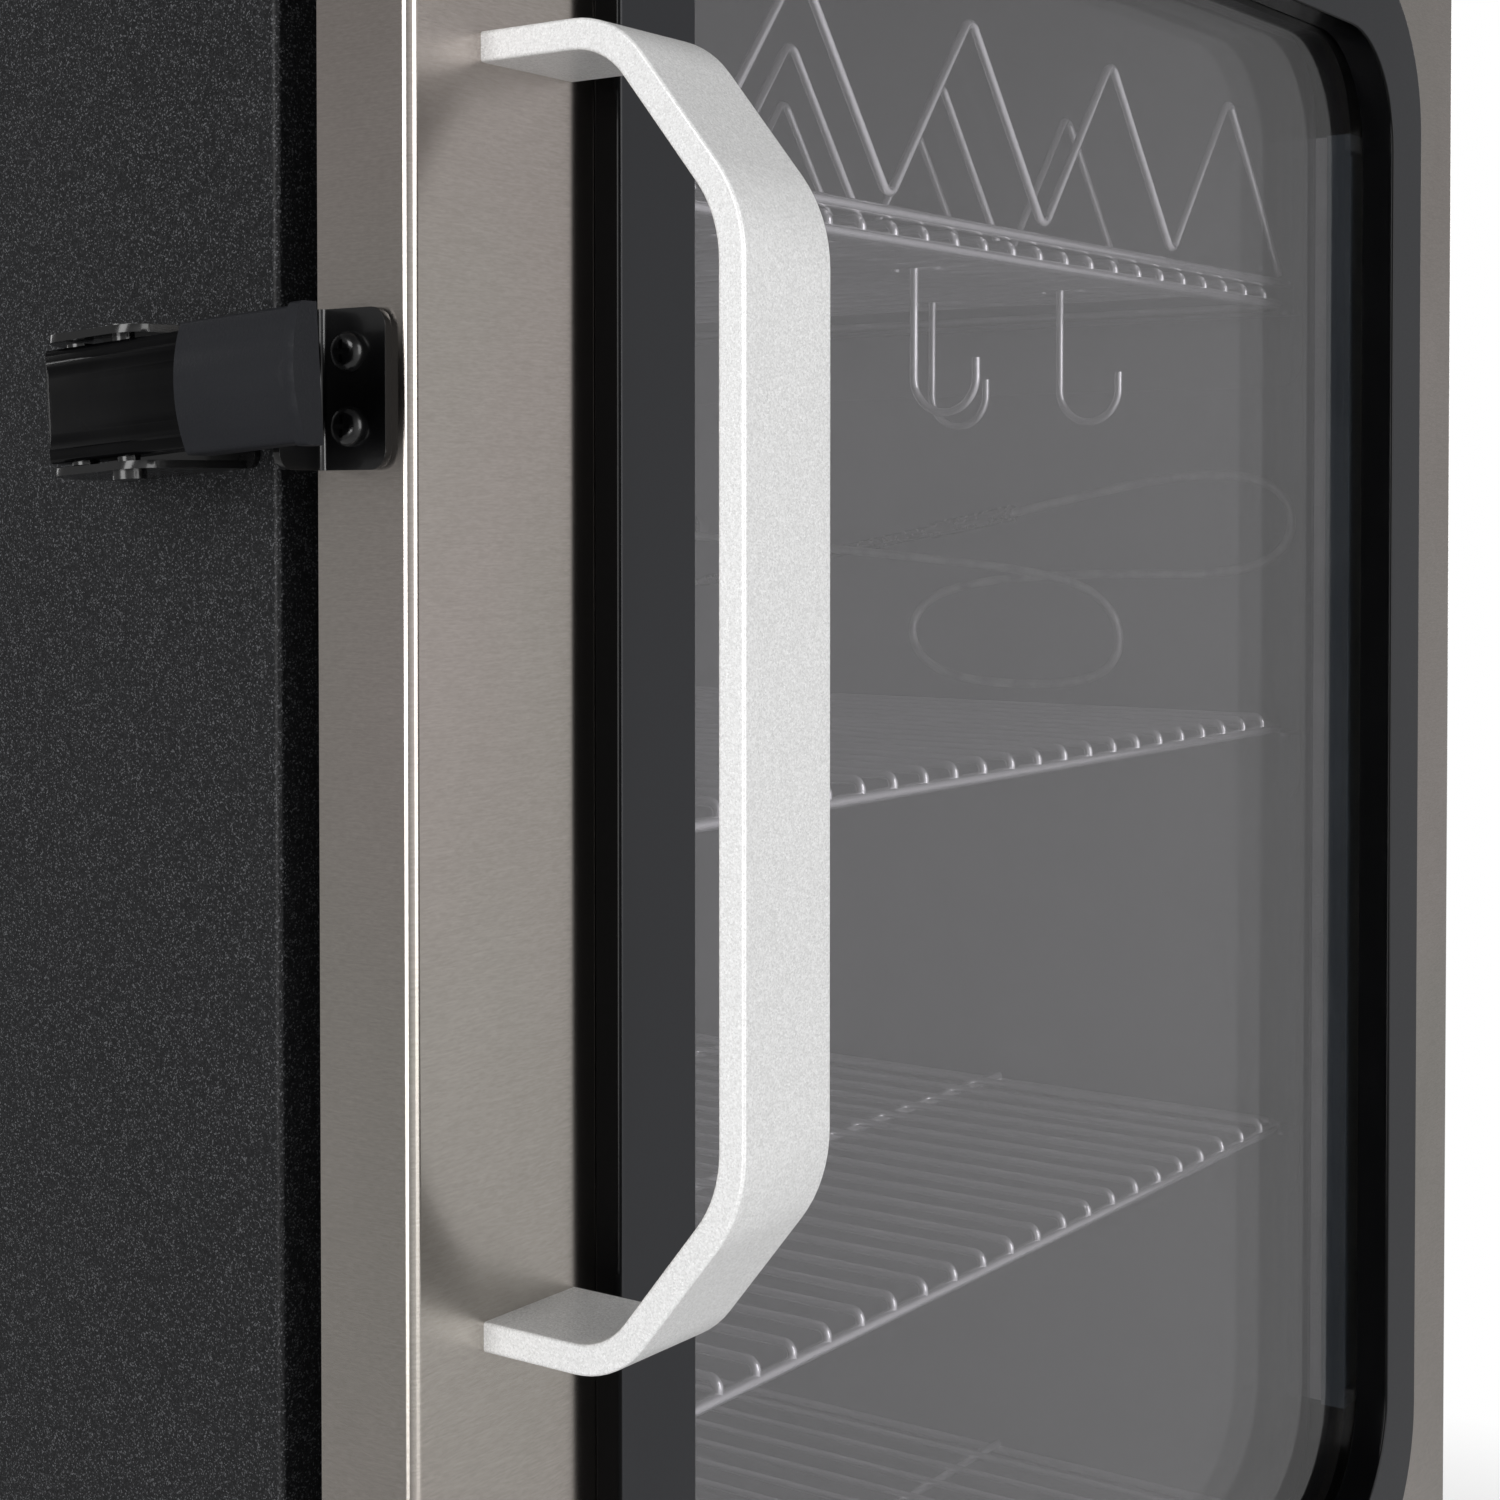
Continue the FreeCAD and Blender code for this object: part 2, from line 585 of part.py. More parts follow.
def pan_screw(name, head_radius, head_height, shank_radius, shank_length):
    """Pan head screw along +Z with a cross recess; its head's underside is at zero."""
    body = new_body(name)
    sketch = sketch_on(body, "xz")
    outline(sketch, [(0, -shank_length), (shank_radius, -shank_length), (shank_radius, 0),
                     (head_radius, 0), (head_radius, head_height, head_height * 0.85),
                     (0, head_height)])
    turn = body.newObject("PartDesign::Revolution", f"{name}_turn")
    turn.Profile = sketch
    turn.ReferenceAxis = (sketch, ["V_Axis"])
    turn.Angle = 360
    reach, half = head_radius * 0.55, head_radius * 0.12
    for across, tall in ((reach, half), (half, reach)):
        pocket(body, "xy", head_height * 0.4, head_height + 1,
               [rectangle((-across, across), (-tall, tall))])
    return body


def catch():
    """Folded keeper plate on the door's edge, and its two screws."""
    body = new_body("catch_plate")
    thick = dim("catch_sheet")
    wall = -HALF
    corners = [(wall, FRONT + 4.3), (wall, FRONT + 20.9), (wall - dim("keeper_out"), FRONT + 20.9),
               (wall - dim("keeper_out"), FRONT + 20.9 - thick),
               (wall - thick, FRONT + 20.9 - thick, 1), (wall - thick, FRONT + 4.3)]
    half = dim("catch_half")
    pad(body, "xy", CATCH_Z - half, CATCH_Z + half, [corners])
    front_y, lip_x = numbers(FRONT + 4.3, wall - dim("keeper_out"))
    fillet(body, along("x", lambda c: abs(c.y - front_y) < 0.01), 3.5)
    fillet(body, along("y", lambda c: abs(c.x - lip_x) < 0.01), 3)
    pocket(body, "yz", wall - thick - 1, wall + 1, [], CATCH_HOLES)
    screws = []
    for index, (y, z, radius) in enumerate(CATCH_HOLES):
        screw = pan_screw(f"catch_screw_{index}", 3.6, 2.4, 1.75, 7)
        screw.Placement.Rotation = FreeCAD.Rotation(FreeCAD.Vector(0, 1, 0), -90)
        bind(screw, "Placement.Base.x", wall - thick)
        bind(screw, "Placement.Base.y", y)
        bind(screw, "Placement.Base.z", z)
        screws.append(screw)
    group("catch_screws", screws)


def hinge_bracket(name, level, side):
    """Angle plate on the cabinet's front with a pin that enters the door's end wall.
    side is 1 above the door and -1 below it."""
    near = level + 2 * side
    far = near + dim("hinge_plate") * side
    low, high = (near, far) if side > 0 else (far, near)
    leg_end = level + 11 * side if side > 0 else level - 30
    leg = (low, leg_end) if side > 0 else (leg_end, high)
    x = (HINGE_X - 14, HINGE_X + 10)
    plate = box(f"{name}_arm", x, (HINGE_Y - 9, BODY_FRONT), (low, high))
    foot = box(f"{name}_leg", x, (BODY_FRONT - 3, BODY_FRONT), leg)
    pin_start = level - 10 if side > 0 else far
    pin_length = 12 + dim("hinge_plate")
    pin = rod(f"{name}_pin", (HINGE_X, HINGE_Y, pin_start), "z", pin_length, dim("hinge_pin"))
    fuse(name, [plate, foot, pin])


# ---------------------------------------------------------------- latch

def latch():
    """Side latch: a base with two ears, a lever on a pivot pin, and the hook it draws.
    All of it leans about the pivot, so the grip stands a little higher than the tail."""
    pivot = (-HALF - dim("latch_pivot_out"), FRONT + dim("latch_pivot_back"))
    tail = (-HALF - dim("hook_pin_out"), FRONT + dim("hook_pin_back"))
    lever, grip = lever_and_grip(pivot, tail)
    lean = FreeCAD.Rotation(FreeCAD.Vector(1, 0, 0), -dim("latch_lean").value)
    centre = FreeCAD.Vector(*numbers(*pivot, LATCH_Z))
    for name, pieces in (("latch_base", [base_plate(pivot)]), ("latch_lever", [lever]),
                         ("latch_pivot_pin", pivot_stubs(pivot)), ("lever_sleeve", [grip]),
                         ("latch_hook", [hook_strap(tail)]), ("hook_pin", [hook_rivet(tail)])):
        leaning = group(name, pieces)
        leaning.Placement = FreeCAD.Placement(FreeCAD.Vector(), lean, centre)


def base_plate(pivot):
    """Plate on the side panel with two ears that carry the pivot."""
    body = new_body("base_plate")
    wall = -HALF
    inner, outer = dim("ear_inner"), dim("ear_inner") + dim("ear_sheet")
    front, back = FRONT + 37, FRONT + 76
    pad(body, "yz", wall - dim("ear_sheet"), wall,
        [rectangle((front, back), (LATCH_Z - outer, LATCH_Z + outer))])
    fillet(body, along("x"), 2.5)
    ear = [(wall - 0.5, front + 2), (wall - 0.5, back - 4), (wall - 12, back - 5, 4),
           (pivot[0] - 4, back - 11, 6), (pivot[0] - 4, pivot[1] - 6, 5)]
    for low, high in ((-outer, -inner), (inner, outer)):
        pad(body, "xy", LATCH_Z + low, LATCH_Z + high, [ear])
    pocket(body, "xy", LATCH_Z - 20, LATCH_Z + 20, [], [(*pivot, dim("latch_pin"))])
    return body


def pivot_stubs(pivot):
    """The pivot: one headed stub in each ear, the upper one peened nearly flat."""
    outer = dim("ear_inner") + dim("ear_sheet")
    reach = dim("lever_half") - dim("lever_wall") + 0.2
    stubs = []
    for side, shank_z, head_z, head in (("low", -outer, -outer - 1.6, 1.6),
                                        ("high", reach, outer, 0.4)):
        shank = rod(f"pivot_shank_{side}", (*pivot, LATCH_Z + shank_z), "z", outer - reach,
                    dim("latch_pin"))
        cap = rod(f"pivot_head_{side}", (*pivot, LATCH_Z + head_z), "z", head, 3)
        stubs.append(fuse(f"pivot_stub_{side}", [shank, cap]))
    return stubs


def hook_rivet(tail):
    """Rivet through the lever's tail that the hook turns on."""
    half, head = dim("lever_half"), 0.6
    pieces = [rod("hook_rivet_shank", (*tail, LATCH_Z - half), "z", half * 2,
                  dim("hook_pin_radius"))]
    for side, z in (("low", -half - head), ("high", half)):
        pieces.append(rod(f"hook_rivet_{side}", (*tail, LATCH_Z + z), "z", head, 2.4))
    return fuse("hook_rivet", pieces)


def dome(grow):
    """Section across the lever: a domed outer face between flat sides, grown by a distance."""
    half = dim("lever_half") + grow
    tip = -HALF - dim("lever_out") - grow - half * dim("dome_tip")
    edge = tip + half * dim("dome_slope")
    open_side = -HALF + 5
    return [(edge, LATCH_Z - half, 1), (tip, LATCH_Z, half * dim("dome_ratio")),
            (edge, LATCH_Z + half, 1), (open_side, LATCH_Z + half), (open_side, LATCH_Z - half)]


def domed_bar(name, profile, grow):
    """A bar with the given outline from above, trimmed to the domed section all along."""
    body = new_body(name)
    half = dim("lever_half") + grow
    pad(body, "xy", LATCH_Z - half - 1, LATCH_Z + half + 1, [profile])
    around = rectangle((-HALF - 60, -HALF + 6), (LATCH_Z - half - 5, LATCH_Z + half + 5))
    pocket(body, "xz", FRONT - 20, FRONT + 90, [around, dome(grow)])
    return body


def lever_and_grip(pivot, tail):
    """Pressed lever, open towards the cabinet, and the moulded grip on its free end."""
    crest = -HALF - dim("lever_out")
    front, back = FRONT + 4, pivot[1] + 18
    profile = [(crest + 0.4, front, 1.2), (crest - 0.6, front + 12, 60),
               (crest - 0.6, back - 5, 14), (crest + 1.6, back, 2.2), (crest + 9, back, 2),
               (crest + 3.4, front + 0.4, 0.8)]
    wall, sleeve_wall = dim("lever_wall"), dim("sleeve_wall")
    lever = domed_bar("lever_channel", profile, 0)
    pocket(lever, "xz", front + 2, back - 2 * wall, [dome(-wall)])
    pocket(lever, "xy", LATCH_Z - 20, LATCH_Z + 20, [],
           [(*pivot, dim("latch_pin") + dim("running_gap")), (*tail, dim("hook_pin_radius"))])
    end, grip_back = FRONT + 1.2, FRONT + 30
    skin = domed_bar("grip_skin", [(crest - 0.8, end, 1.4), (crest - 2, end + 12, 60),
                                   (crest - 2, grip_back), (crest + 7.1, grip_back),
                                   (crest + 4, end, 1)], sleeve_wall)
    bead_end = end + 2.3
    bead = domed_bar("grip_bead", [(crest - 2.6, end - 0.3), (crest - 2.6, bead_end),
                                   (crest + 4.6, bead_end), (crest + 4.4, end - 0.3)],
                     sleeve_wall + dim("sleeve_bead"))
    core = domed_bar("grip_core", profile, 0)
    inner = dim("lever_half") - wall
    opening = box("grip_opening", (crest + 2.6, -HALF - 5), (front + 0.4, grip_back + 1),
                  (LATCH_Z - inner, LATCH_Z + inner))
    return lever, cut("grip", fuse("grip_solid", [skin, bead]), [core, opening])


def hook_strap(tail):
    """Flat hook with a rolled eye round its rivet and a claw at the keeper's end."""
    body = new_body("hook_strap")
    half, strap = 6, 1
    claw, claw_tip = FRONT + 15.2, -HALF - dim("keeper_out") - 0.7
    low, high = LATCH_Z - half, LATCH_Z + half
    pad(body, "xy", low, high,
        [[(tail[0] - strap, claw, 1), (tail[0] - strap, tail[1]), (tail[0] + strap, tail[1]),
          (tail[0] + strap, claw + 2.2, 0.5), (claw_tip, claw + 2.2), (claw_tip, claw)]])
    pad(body, "xy", low, high, [], [(*tail, 2.3)])
    pocket(body, "xy", low - 10, high + 10, [],
           [(*tail, dim("hook_pin_radius") + dim("running_gap"))])
    return body


# ---------------------------------------------------------------- racks

def place_rack(body, height):
    bind(body, "Placement.Base.y", RACK_FRONT)
    bind(body, "Placement.Base.z", height)


def wire_rack(name, height, wire_lift, extra_rods):
    """Wire shelf: a rail all round, wires from front to back, and cross rods."""
    body = new_body(name)
    depth, rail, wire = dim("rack_depth"), dim("rail_radius"), dim("wire_radius")
    half = dim("rack_half_width")
    first = -dim("wire_pitch") * (dim("wire_count") - 1) / 2
    bend = min(2.4, wire_lift.value - 1.2)
    path = [(0, 0.6), (0, wire_lift, bend), (depth, wire_lift, bend), (depth, 0.6)]
    pipe(body, "yz", first, path, "xy", 0.6, (first, 0, wire))
    doc.recompute()
    wires = body.newObject("PartDesign::LinearPattern", f"{name}_wires")
    wires.Originals = [body.Tip]
    for feature in body.Origin.OriginFeatures:
        if feature.Role == "X_Axis":
            wires.Direction = (feature, [""])
    bind(wires, "Length", -first * 2)
    bind(wires, "Occurrences", dim("wire_count"))
    body.Tip = wires
    frame = rectangle((-half, half), (0, depth), 9)
    pipe(body, "xy", 0, frame, "xz", -depth / 2, (half, 0, rail), closed=True)
    for y, z, radius in extra_rods:
        pad(body, "yz", -half, half, [], [(y, z, radius)])
    place_rack(body, height)


def racks():
    wire, rail, depth = dim("wire_radius"), dim("rail_radius"), dim("rack_depth")
    lift = dim("wire_lift")
    under = lift - wire - rail + 0.4
    plain_rods = [(depth / 3, under, rail), (depth * 2 / 3, under, rail)]
    for name in ("middle_rack", "lower_rack", "bottom_rack"):
        wire_rack(name, dim(f"{name}_z"), lift, plain_rods)
    rod_rows = [(dim("rib_row_pitch") * row, dim("rib_rod_lift"), wire * 1.3) for row in range(6)]
    wire_rack("rib_rack_grid", dim("top_rack_z"), dim("rib_rod_lift") - wire * 2.2, rod_rows)
    rib_dividers()
    for index, (x, row) in enumerate(((60, 1), (150, 1), (165, 2)), start=1):
        jerky_hook(f"meat_hook_{index}", x, row)


def rib_dividers():
    """Six zigzag wires that stand on the rods of the top rack."""
    pitch, peak = dim("rib_pitch"), dim("rib_peak")
    wire = dim("wire_radius")
    stand = dim("rib_rod_lift") + wire * 2.32
    rows = []
    for row in range(6):
        body = new_body(f"divider_{row}")
        path = [(-pitch * 2.5, stand)]
        for step in range(1, 10):
            height = stand + peak if step % 2 else stand
            path.append((pitch * (step / 2 - 2.5), height, dim("rib_bend")))
        path.append((pitch * 2.5, stand))
        slope = math.atan2(peak.value, pitch.value / 2)
        y = dim("rib_row_pitch") * row
        divider_sweep(body, path, y, slope, stand, wire)
        place_rack(body, dim("top_rack_z"))
        rows.append(body)
    group("rib_dividers", rows)


def divider_sweep(body, path, y, slope, stand, wire):
    """Sweeps a round wire up the first slope of the zigzag, at right angles to it."""
    spine = sketch_on(body, "xz", -y)
    outline(spine, path, closed=False)
    section = body.newObject("Sketcher::SketchObject", f"{body.Name}_section")
    for feature in body.Origin.OriginFeatures:
        if feature.Role == "XY_Plane":
            section.AttachmentSupport = [(feature, "")]
    section.MapMode = "FlatFace"
    section.AttachmentOffset = FreeCAD.Placement(
        FreeCAD.Vector(), FreeCAD.Rotation(FreeCAD.Vector(0, 1, 0), 90 - math.degrees(slope)))
    bind(section, "AttachmentOffset.Base.x", path[0][0])
    bind(section, "AttachmentOffset.Base.y", y)
    bind(section, "AttachmentOffset.Base.z", stand)
    circle_at(section, 0, 0, wire)
    sweep = body.newObject("PartDesign::AdditivePipe", f"{body.Name}_sweep")
    sweep.Profile = section
    sweep.Spine = spine


def jerky_hook(name, x, row):
    """Long J of wire that hangs over a rod of the top rack."""
    body = new_body(name)
    wire = dim("wire_radius")
    round_rod = wire * 2.3 + dim("hook_clear")
    tip_y = -round_rod - dim("hook_opening")
    low = -dim("hook_drop")
    bend = round_rod * 0.97
    path = [(round_rod, -4), (round_rod, round_rod, bend), (-round_rod, round_rod, bend),
            (-round_rod, low, 10.2), (tip_y, low, 10.2), (tip_y, -dim("hook_tip"))]
    pipe(body, "yz", x, path, "xy", -4, (x, round_rod, wire))
    bind(body, "Placement.Base.y", RACK_FRONT + dim("rib_row_pitch") * row)
    bind(body, "Placement.Base.z", dim("top_rack_z") + dim("rib_rod_lift"))


def ledge(name, side, top, drop, length):
    """Angle strip on a side wall with rounded front corners; a rack slides on its foot."""
    body = new_body(name)
    sheet_t = dim("ledge_sheet")
    wall, edge = CHAMBER * side, (CHAMBER - dim("ledge_inward")) * side
    face = (CHAMBER - sheet_t) * side
    start = FRONT + 36
    pad(body, "xz", start, start + length,
        [[(wall, top - drop), (wall, top), (edge, top), (edge, top - sheet_t),
          (face, top - sheet_t), (face, top - drop)]])
    low = (top - drop).value
    front_y = start.value
    fillet(body, along("x", lambda c: abs(c.z - low) < 0.01), dim("ledge_corner"))
    tip_x = edge.value
    fillet(body, along("z", lambda c: abs(c.x - tip_x) < 0.01 and abs(c.y - front_y) < 0.01), 3)
    return body


def rack_ledges():
    strips = []
    for side, letter in ((-1, "left"), (1, "right")):
        for rack in ("top_rack", "middle_rack", "lower_rack", "bottom_rack"):
            top = dim(f"{rack}_z") - dim("rail_radius") - dim("rest_gap")
            strips.append(ledge(f"ledge_{rack}_{letter}", side, top, dim("ledge_drop"),
                                dim("ledge_length")))
        strips.append(ledge(f"ledge_pan_{letter}", side, DRIP_Z - dim("rest_gap"), 14,
                            dim("ledge_length")))
    group("rack_ledges", strips)


# ---------------------------------------------------------------- temperature probe

def rounded_route(points):
    """Straight runs joined by tangent arcs of 0.45 of the shorter run, over the half turn's tangent."""
    edges, radii, start = [], [], points[0]
    for before, corner, after in zip(points, points[1:], points[2:]):
        back, ahead = before - corner, after - corner
        turn = math.pi - back.getAngle(ahead)
        reach = 0.45 * min(back.Length, ahead.Length)
        radii.append(reach / math.tan(turn / 2))
        back.normalize()
        ahead.normalize()
        entry, way_out = corner + back * reach, corner + ahead * reach
        centre = corner + (back + ahead).normalize() * (radii[-1] / math.cos(turn / 2))
        middle = centre + (corner - centre).normalize() * radii[-1]
        edges.append(Part.LineSegment(start, entry).toShape())
        edges.append(Part.Arc(entry, middle, way_out).toShape())
        start = way_out
    edges.append(Part.LineSegment(start, points[-1]).toShape())
    return Part.Wire(edges), radii


def probe():
    """Meat probe parked in a clip, its braided lead and the socket in the wall."""
    radius = dim("probe_lead_diameter").value / 2
    points = [FreeCAD.Vector(*point) for point in PROBE_ROUTE]
    wire, radii = rounded_route(points)
    direction = (points[1] - points[0]).normalize()
    disc = Part.Wire(Part.Circle(points[0], direction, radius).toShape())
    tube = wire.makePipeShell([disc], True, True)
    lead = doc.addObject("Part::Feature", "probe_lead")
    lead.Shape = tube
    ideal = math.pi * radius ** 2 * wire.Length
    print("probe lead length", round(wire.Length, 1), "volume ratio", round(tube.Volume / ideal, 4))
    print("probe lead radii", [round(r, 1) for r in radii], "lowest z", round(tube.BoundBox.ZMin, 1))
    rod_start, rod_end = points[-1], FreeCAD.Vector(*PROBE_TIP)
    aim = (rod_end - rod_start).normalize()
    turn = FreeCAD.Rotation(FreeCAD.Vector(0, 0, 1), aim)
    crimp = doc.addObject("Part::Cylinder", "probe_crimp")
    shaft = doc.addObject("Part::Cylinder", "probe_shaft")
    point = doc.addObject("Part::Cone", "probe_point")
    length = (rod_end - rod_start).Length
    for piece, start, tall in ((crimp, 0, 34), (shaft, 34, length - 46), (point, length - 12, 12)):
        piece.Placement = FreeCAD.Placement(rod_start + aim * start, turn)
        piece.Height = tall
    bind(crimp, "Radius", dim("probe_rod_radius") + 0.9)
    bind(shaft, "Radius", dim("probe_rod_radius"))
    bind(point, "Radius1", dim("probe_rod_radius"))
    point.Radius2 = 0.3
    fuse("probe_rod", [crimp, shaft, point])
    nut = rod("jack_nut", (CHAMBER - 4, JACK_Y, JACK_Z), "x", 4, 6.5)
    barrel = rod("jack_barrel", (CHAMBER - 9, JACK_Y, JACK_Z), "x", 30, JACK_RADIUS - 0.8)
    fuse("probe_jack", [nut, barrel])
    grip = rod_start + aim * (length * 0.8)
    clip = box("clip_block", (grip.x - 5, CHAMBER), (grip.y - 4, grip.y + 4), (grip.z - 5, grip.z + 5))
    groove = doc.addObject("Part::Cylinder", "clip_groove")
    groove.Placement = FreeCAD.Placement(grip - aim * 20, turn)
    groove.Height = 40
    bind(groove, "Radius", dim("probe_rod_radius") + 0.02)
    mouth = box("clip_mouth", (grip.x - 9, grip.x), (grip.y - 9, grip.y + 9),
                (grip.z - 1.4, grip.z + 1.4))
    cut("probe_clip", clip, [groove, mouth])


# ---------------------------------------------------------------- heat, smoke and pans

def heating_element():
    """Hairpin of sheathed rod above the floor, with both ends through the rear wall."""
    body = new_body("heating_element")
    start = CHAMBER_BACK + 24
    reach = CHAMBER_BACK - 250
    left, right = ELEMENT_X - ELEMENT_HALF, ELEMENT_X + ELEMENT_HALF
    path = [(left, start), (left, reach, 26), (right, reach, 26), (right, start)]
    pipe(body, "xy", dim("element_z"), path, "xz", -start,
         (left, dim("element_z"), dim("element_radius")))


def tray(name, x, y, z, sheet_t, radius, open_right=False):
    """Open-topped pan with rounded corners."""
    body = new_body(name)
    pad(body, "xy", z[0], z[1], [rectangle(x, y, radius)])
    right = x[1] + 5 if open_right else x[1] - sheet_t
    pocket(body, "xy", z[0] + sheet_t, z[1] + 1,
           [rectangle((x[0] + sheet_t, right), (y[0] + sheet_t, y[1] - sheet_t), radius - sheet_t)])
    return body


def pans():
    sheet_t = dim("pan_sheet")
    tray("water_pan", (-195, 10), (-95, 105), (FLOOR, FLOOR + 42), sheet_t, 16)
    tray("drip_pan", (-204, 204), (FRONT + 42, FRONT + 352), (DRIP_Z, DRIP_Z + 18), sheet_t, 10)
    tray("chip_tray", (92, CHAMBER), (LOADER_Y - 32, LOADER_Y + 32),
                 (as_size(140), LOADER_Z - 2), sheet_t, 5, open_right=True)
    tray("grease_tray", (-110, 110), (FRONT + 8, FRONT + 230), (as_size(20), as_size(43)), sheet_t, 8)
    rails = []
    for side, letter in ((-1, "left"), (1, "right")):
        inner, outer = 104 * side, 116 * side
        body = new_body(f"tray_rail_{letter}")
        pad(body, "xz", FRONT + 40, FRONT + 240,
            [[(outer + 8 * side, BOTTOM), (outer - 1.5 * side, BOTTOM), (outer - 1.5 * side, 17),
              (inner, 17), (inner, 15.5), (outer, 15.5), (outer, BOTTOM - 1.5),
              (outer + 8 * side, BOTTOM - 1.5)]])
        rails.append(body)
    floor = box("base_sheet", (PANEL - HALF, HALF - PANEL), (BODY_FRONT + PANEL, BODY_BACK),
                (BOTTOM, BOTTOM + PANEL))
    fuse("base_panel", [floor, *rails])


def chip_loader():
    """Wood-chip scoop that slides through the right wall, with its sleeve."""
    radius = dim("loader_radius")
    sleeve = rod("sleeve_tube", (CHAMBER, LOADER_Y, LOADER_Z), "x", HALF - CHAMBER, SLEEVE_OUTER)
    flange = rod("sleeve_flange", (HALF, LOADER_Y, LOADER_Z), "x", 2, SLEEVE_OUTER + 7)
    bore = rod("sleeve_bore", (CHAMBER - 5, LOADER_Y, LOADER_Z), "x", 60, SLEEVE_BORE)
    cut("loader_sleeve", fuse("sleeve_solid", [sleeve, flange]), [bore])
    scoop = rod("scoop_tube", (106, LOADER_Y, LOADER_Z), "x", HALF + 2.5 - 106, radius)
    hollow = rod("scoop_hollow", (108, LOADER_Y, LOADER_Z), "x", CHAMBER - 3 - 108, radius - 1.2)
    above = box("scoop_mouth", (100, CHAMBER - 3), (LOADER_Y - 40, LOADER_Y + 40),
                (LOADER_Z, LOADER_Z + 40))
    cap = rod("loader_cap", (HALF + 2.5, LOADER_Y, LOADER_Z), "x", 4, SLEEVE_OUTER + 5)
    neck = rod("loader_neck", (HALF + 6.5, LOADER_Y, LOADER_Z), "x", 8, 6)
    knob = rod("loader_knob", (HALF + 14, LOADER_Y, LOADER_Z), "x", 13, 15)
    cut("chip_loader", fuse("loader_solid", [scoop, cap, neck, knob]), [hollow, above])


def vent():
    """Smoke outlet through the roof and the turning damper on top of it."""
    x, y, radius = dim("vent_x"), dim("vent_y"), dim("vent_radius")
    tube = new_body("vent_tube")
    pad(tube, "xy", ROOF, TOP + 10, [], [(x, y, radius + 1.8), (x, y, radius)])
    collar = new_body("vent_collar")
    pad(collar, "xy", TOP, TOP + 2, [], [(x, y, radius + 14), (x, y, radius + 1)])
    bar = box("vent_bar", (x - radius - 1, x + radius + 1), (y - 4, y + 4), (TOP + 7, TOP + 10))
    hub = rod("vent_hub", (x, y, TOP + 7), "z", 12, 3)
    fuse("vent_pipe", [tube, collar, bar, hub])
    damper = new_body("vent_damper")
    holes = [(x + radius * 0.6 * math.cos(a), y + radius * 0.6 * math.sin(a), 6.5)
             for a in (math.pi / 4 + k * math.pi / 2 for k in range(2))]
    pad(damper, "xy", TOP + 10.4, TOP + 12.4, [],
        [(x, y, radius + 8), (x, y, 3 + dim("running_gap")), *holes])
    pad(damper, "xy", TOP + 12.4, TOP + 21, [rectangle((x + 12, x + 28), (y - 2, y + 2), 1.5)])


# ---------------------------------------------------------------- controls and feet

def controls():
    """Control box on the roof's front edge: sloped face, display, keys, board."""
    depth, height = dim("housing_depth"), dim("housing_height")
    nose, slope = dim("housing_nose"), dim("housing_slope")
    start = BODY_FRONT + 4
    half = HALF - 30
    side = [(start, TOP), (start + depth, TOP), (start + depth, TOP + height, 8),
            (start + slope, TOP + height, 6), (start, TOP + nose, 4)]
    shell = new_body("housing_shell")
    pad(shell, "yz", -half, half, [side])
    inner = [(start + 4, TOP - 1), (start + depth - 3, TOP - 1),
             (start + depth - 3, TOP + height - 3, 5), (start + slope + 3, TOP + height - 3, 4),
             (start + 4, TOP + nose + 1, 2)]
    pocket(shell, "yz", -half + 3, half - 3, [inner])
    radius = dim("button_radius")
    holes = [face_rod(f"key_hole_{i}", x, (-12, 6), radius + 0.4) for i, x in enumerate(KEY_PLACES)]
    recess = face_block("lens_recess", (-46, 46), (11, 37), (-1.4, 6))
    cut("control_housing", shell, [*holes, recess])
    face_block("display_lens", (-45.6, 45.6), (11.4, 36.6), (-1.4, 0.3))
    for i, (x, name) in enumerate(zip(KEY_PLACES, KEY_NAMES)):
        cap = face_rod(f"{name}_cap", x, (-3.4, 1.8), radius)
        flange = face_rod(f"{name}_flange", x, (-7, -5.4), radius + 1.6)
        stem = face_rod(f"{name}_stem", x, (-5.4, -3.4), radius)
        fuse(name, [cap, flange, stem])
    board = box("board_plate", (-150, 150), (start + 46, start + 110), (TOP + 6, TOP + 7.6))
    posts = [rod(f"board_post_{x}_{y}", (x, start + y, TOP), "z", 6, 3)
             for x in (-140, 140) for y in (54, 102)]
    fuse("control_board", [board, *posts])


def face_tilt():
    """Angle of the control face from upright, in degrees."""
    rise = (dim("housing_height") - dim("housing_nose")).value
    return math.degrees(math.atan2(dim("housing_slope").value, rise))


def on_face(along_face, lift):
    """Y and Z of a point by its distance up the control face and its height above it."""
    tilt = math.radians(face_tilt())
    y = BODY_FRONT + 4 + along_face * math.sin(tilt) - lift * math.cos(tilt)
    z = TOP + dim("housing_nose") + along_face * math.cos(tilt) + lift * math.sin(tilt)
    return y, z


def face_block(name, x, along_face, lift):
    """A block square to the control face, between limits along it and above it."""
    block = doc.addObject("Part::Box", name)
    block.Placement.Rotation = FreeCAD.Rotation(FreeCAD.Vector(1, 0, 0), 90 - face_tilt())
    y, z = on_face(along_face[0], lift[0])
    bind(block, "Length", as_size(x[1]) - x[0])
    block.Width = along_face[1] - along_face[0]
    block.Height = lift[1] - lift[0]
    for letter, place in zip("xyz", (x[0], y, z)):
        bind(block, f"Placement.Base.{letter}", place)
    return block


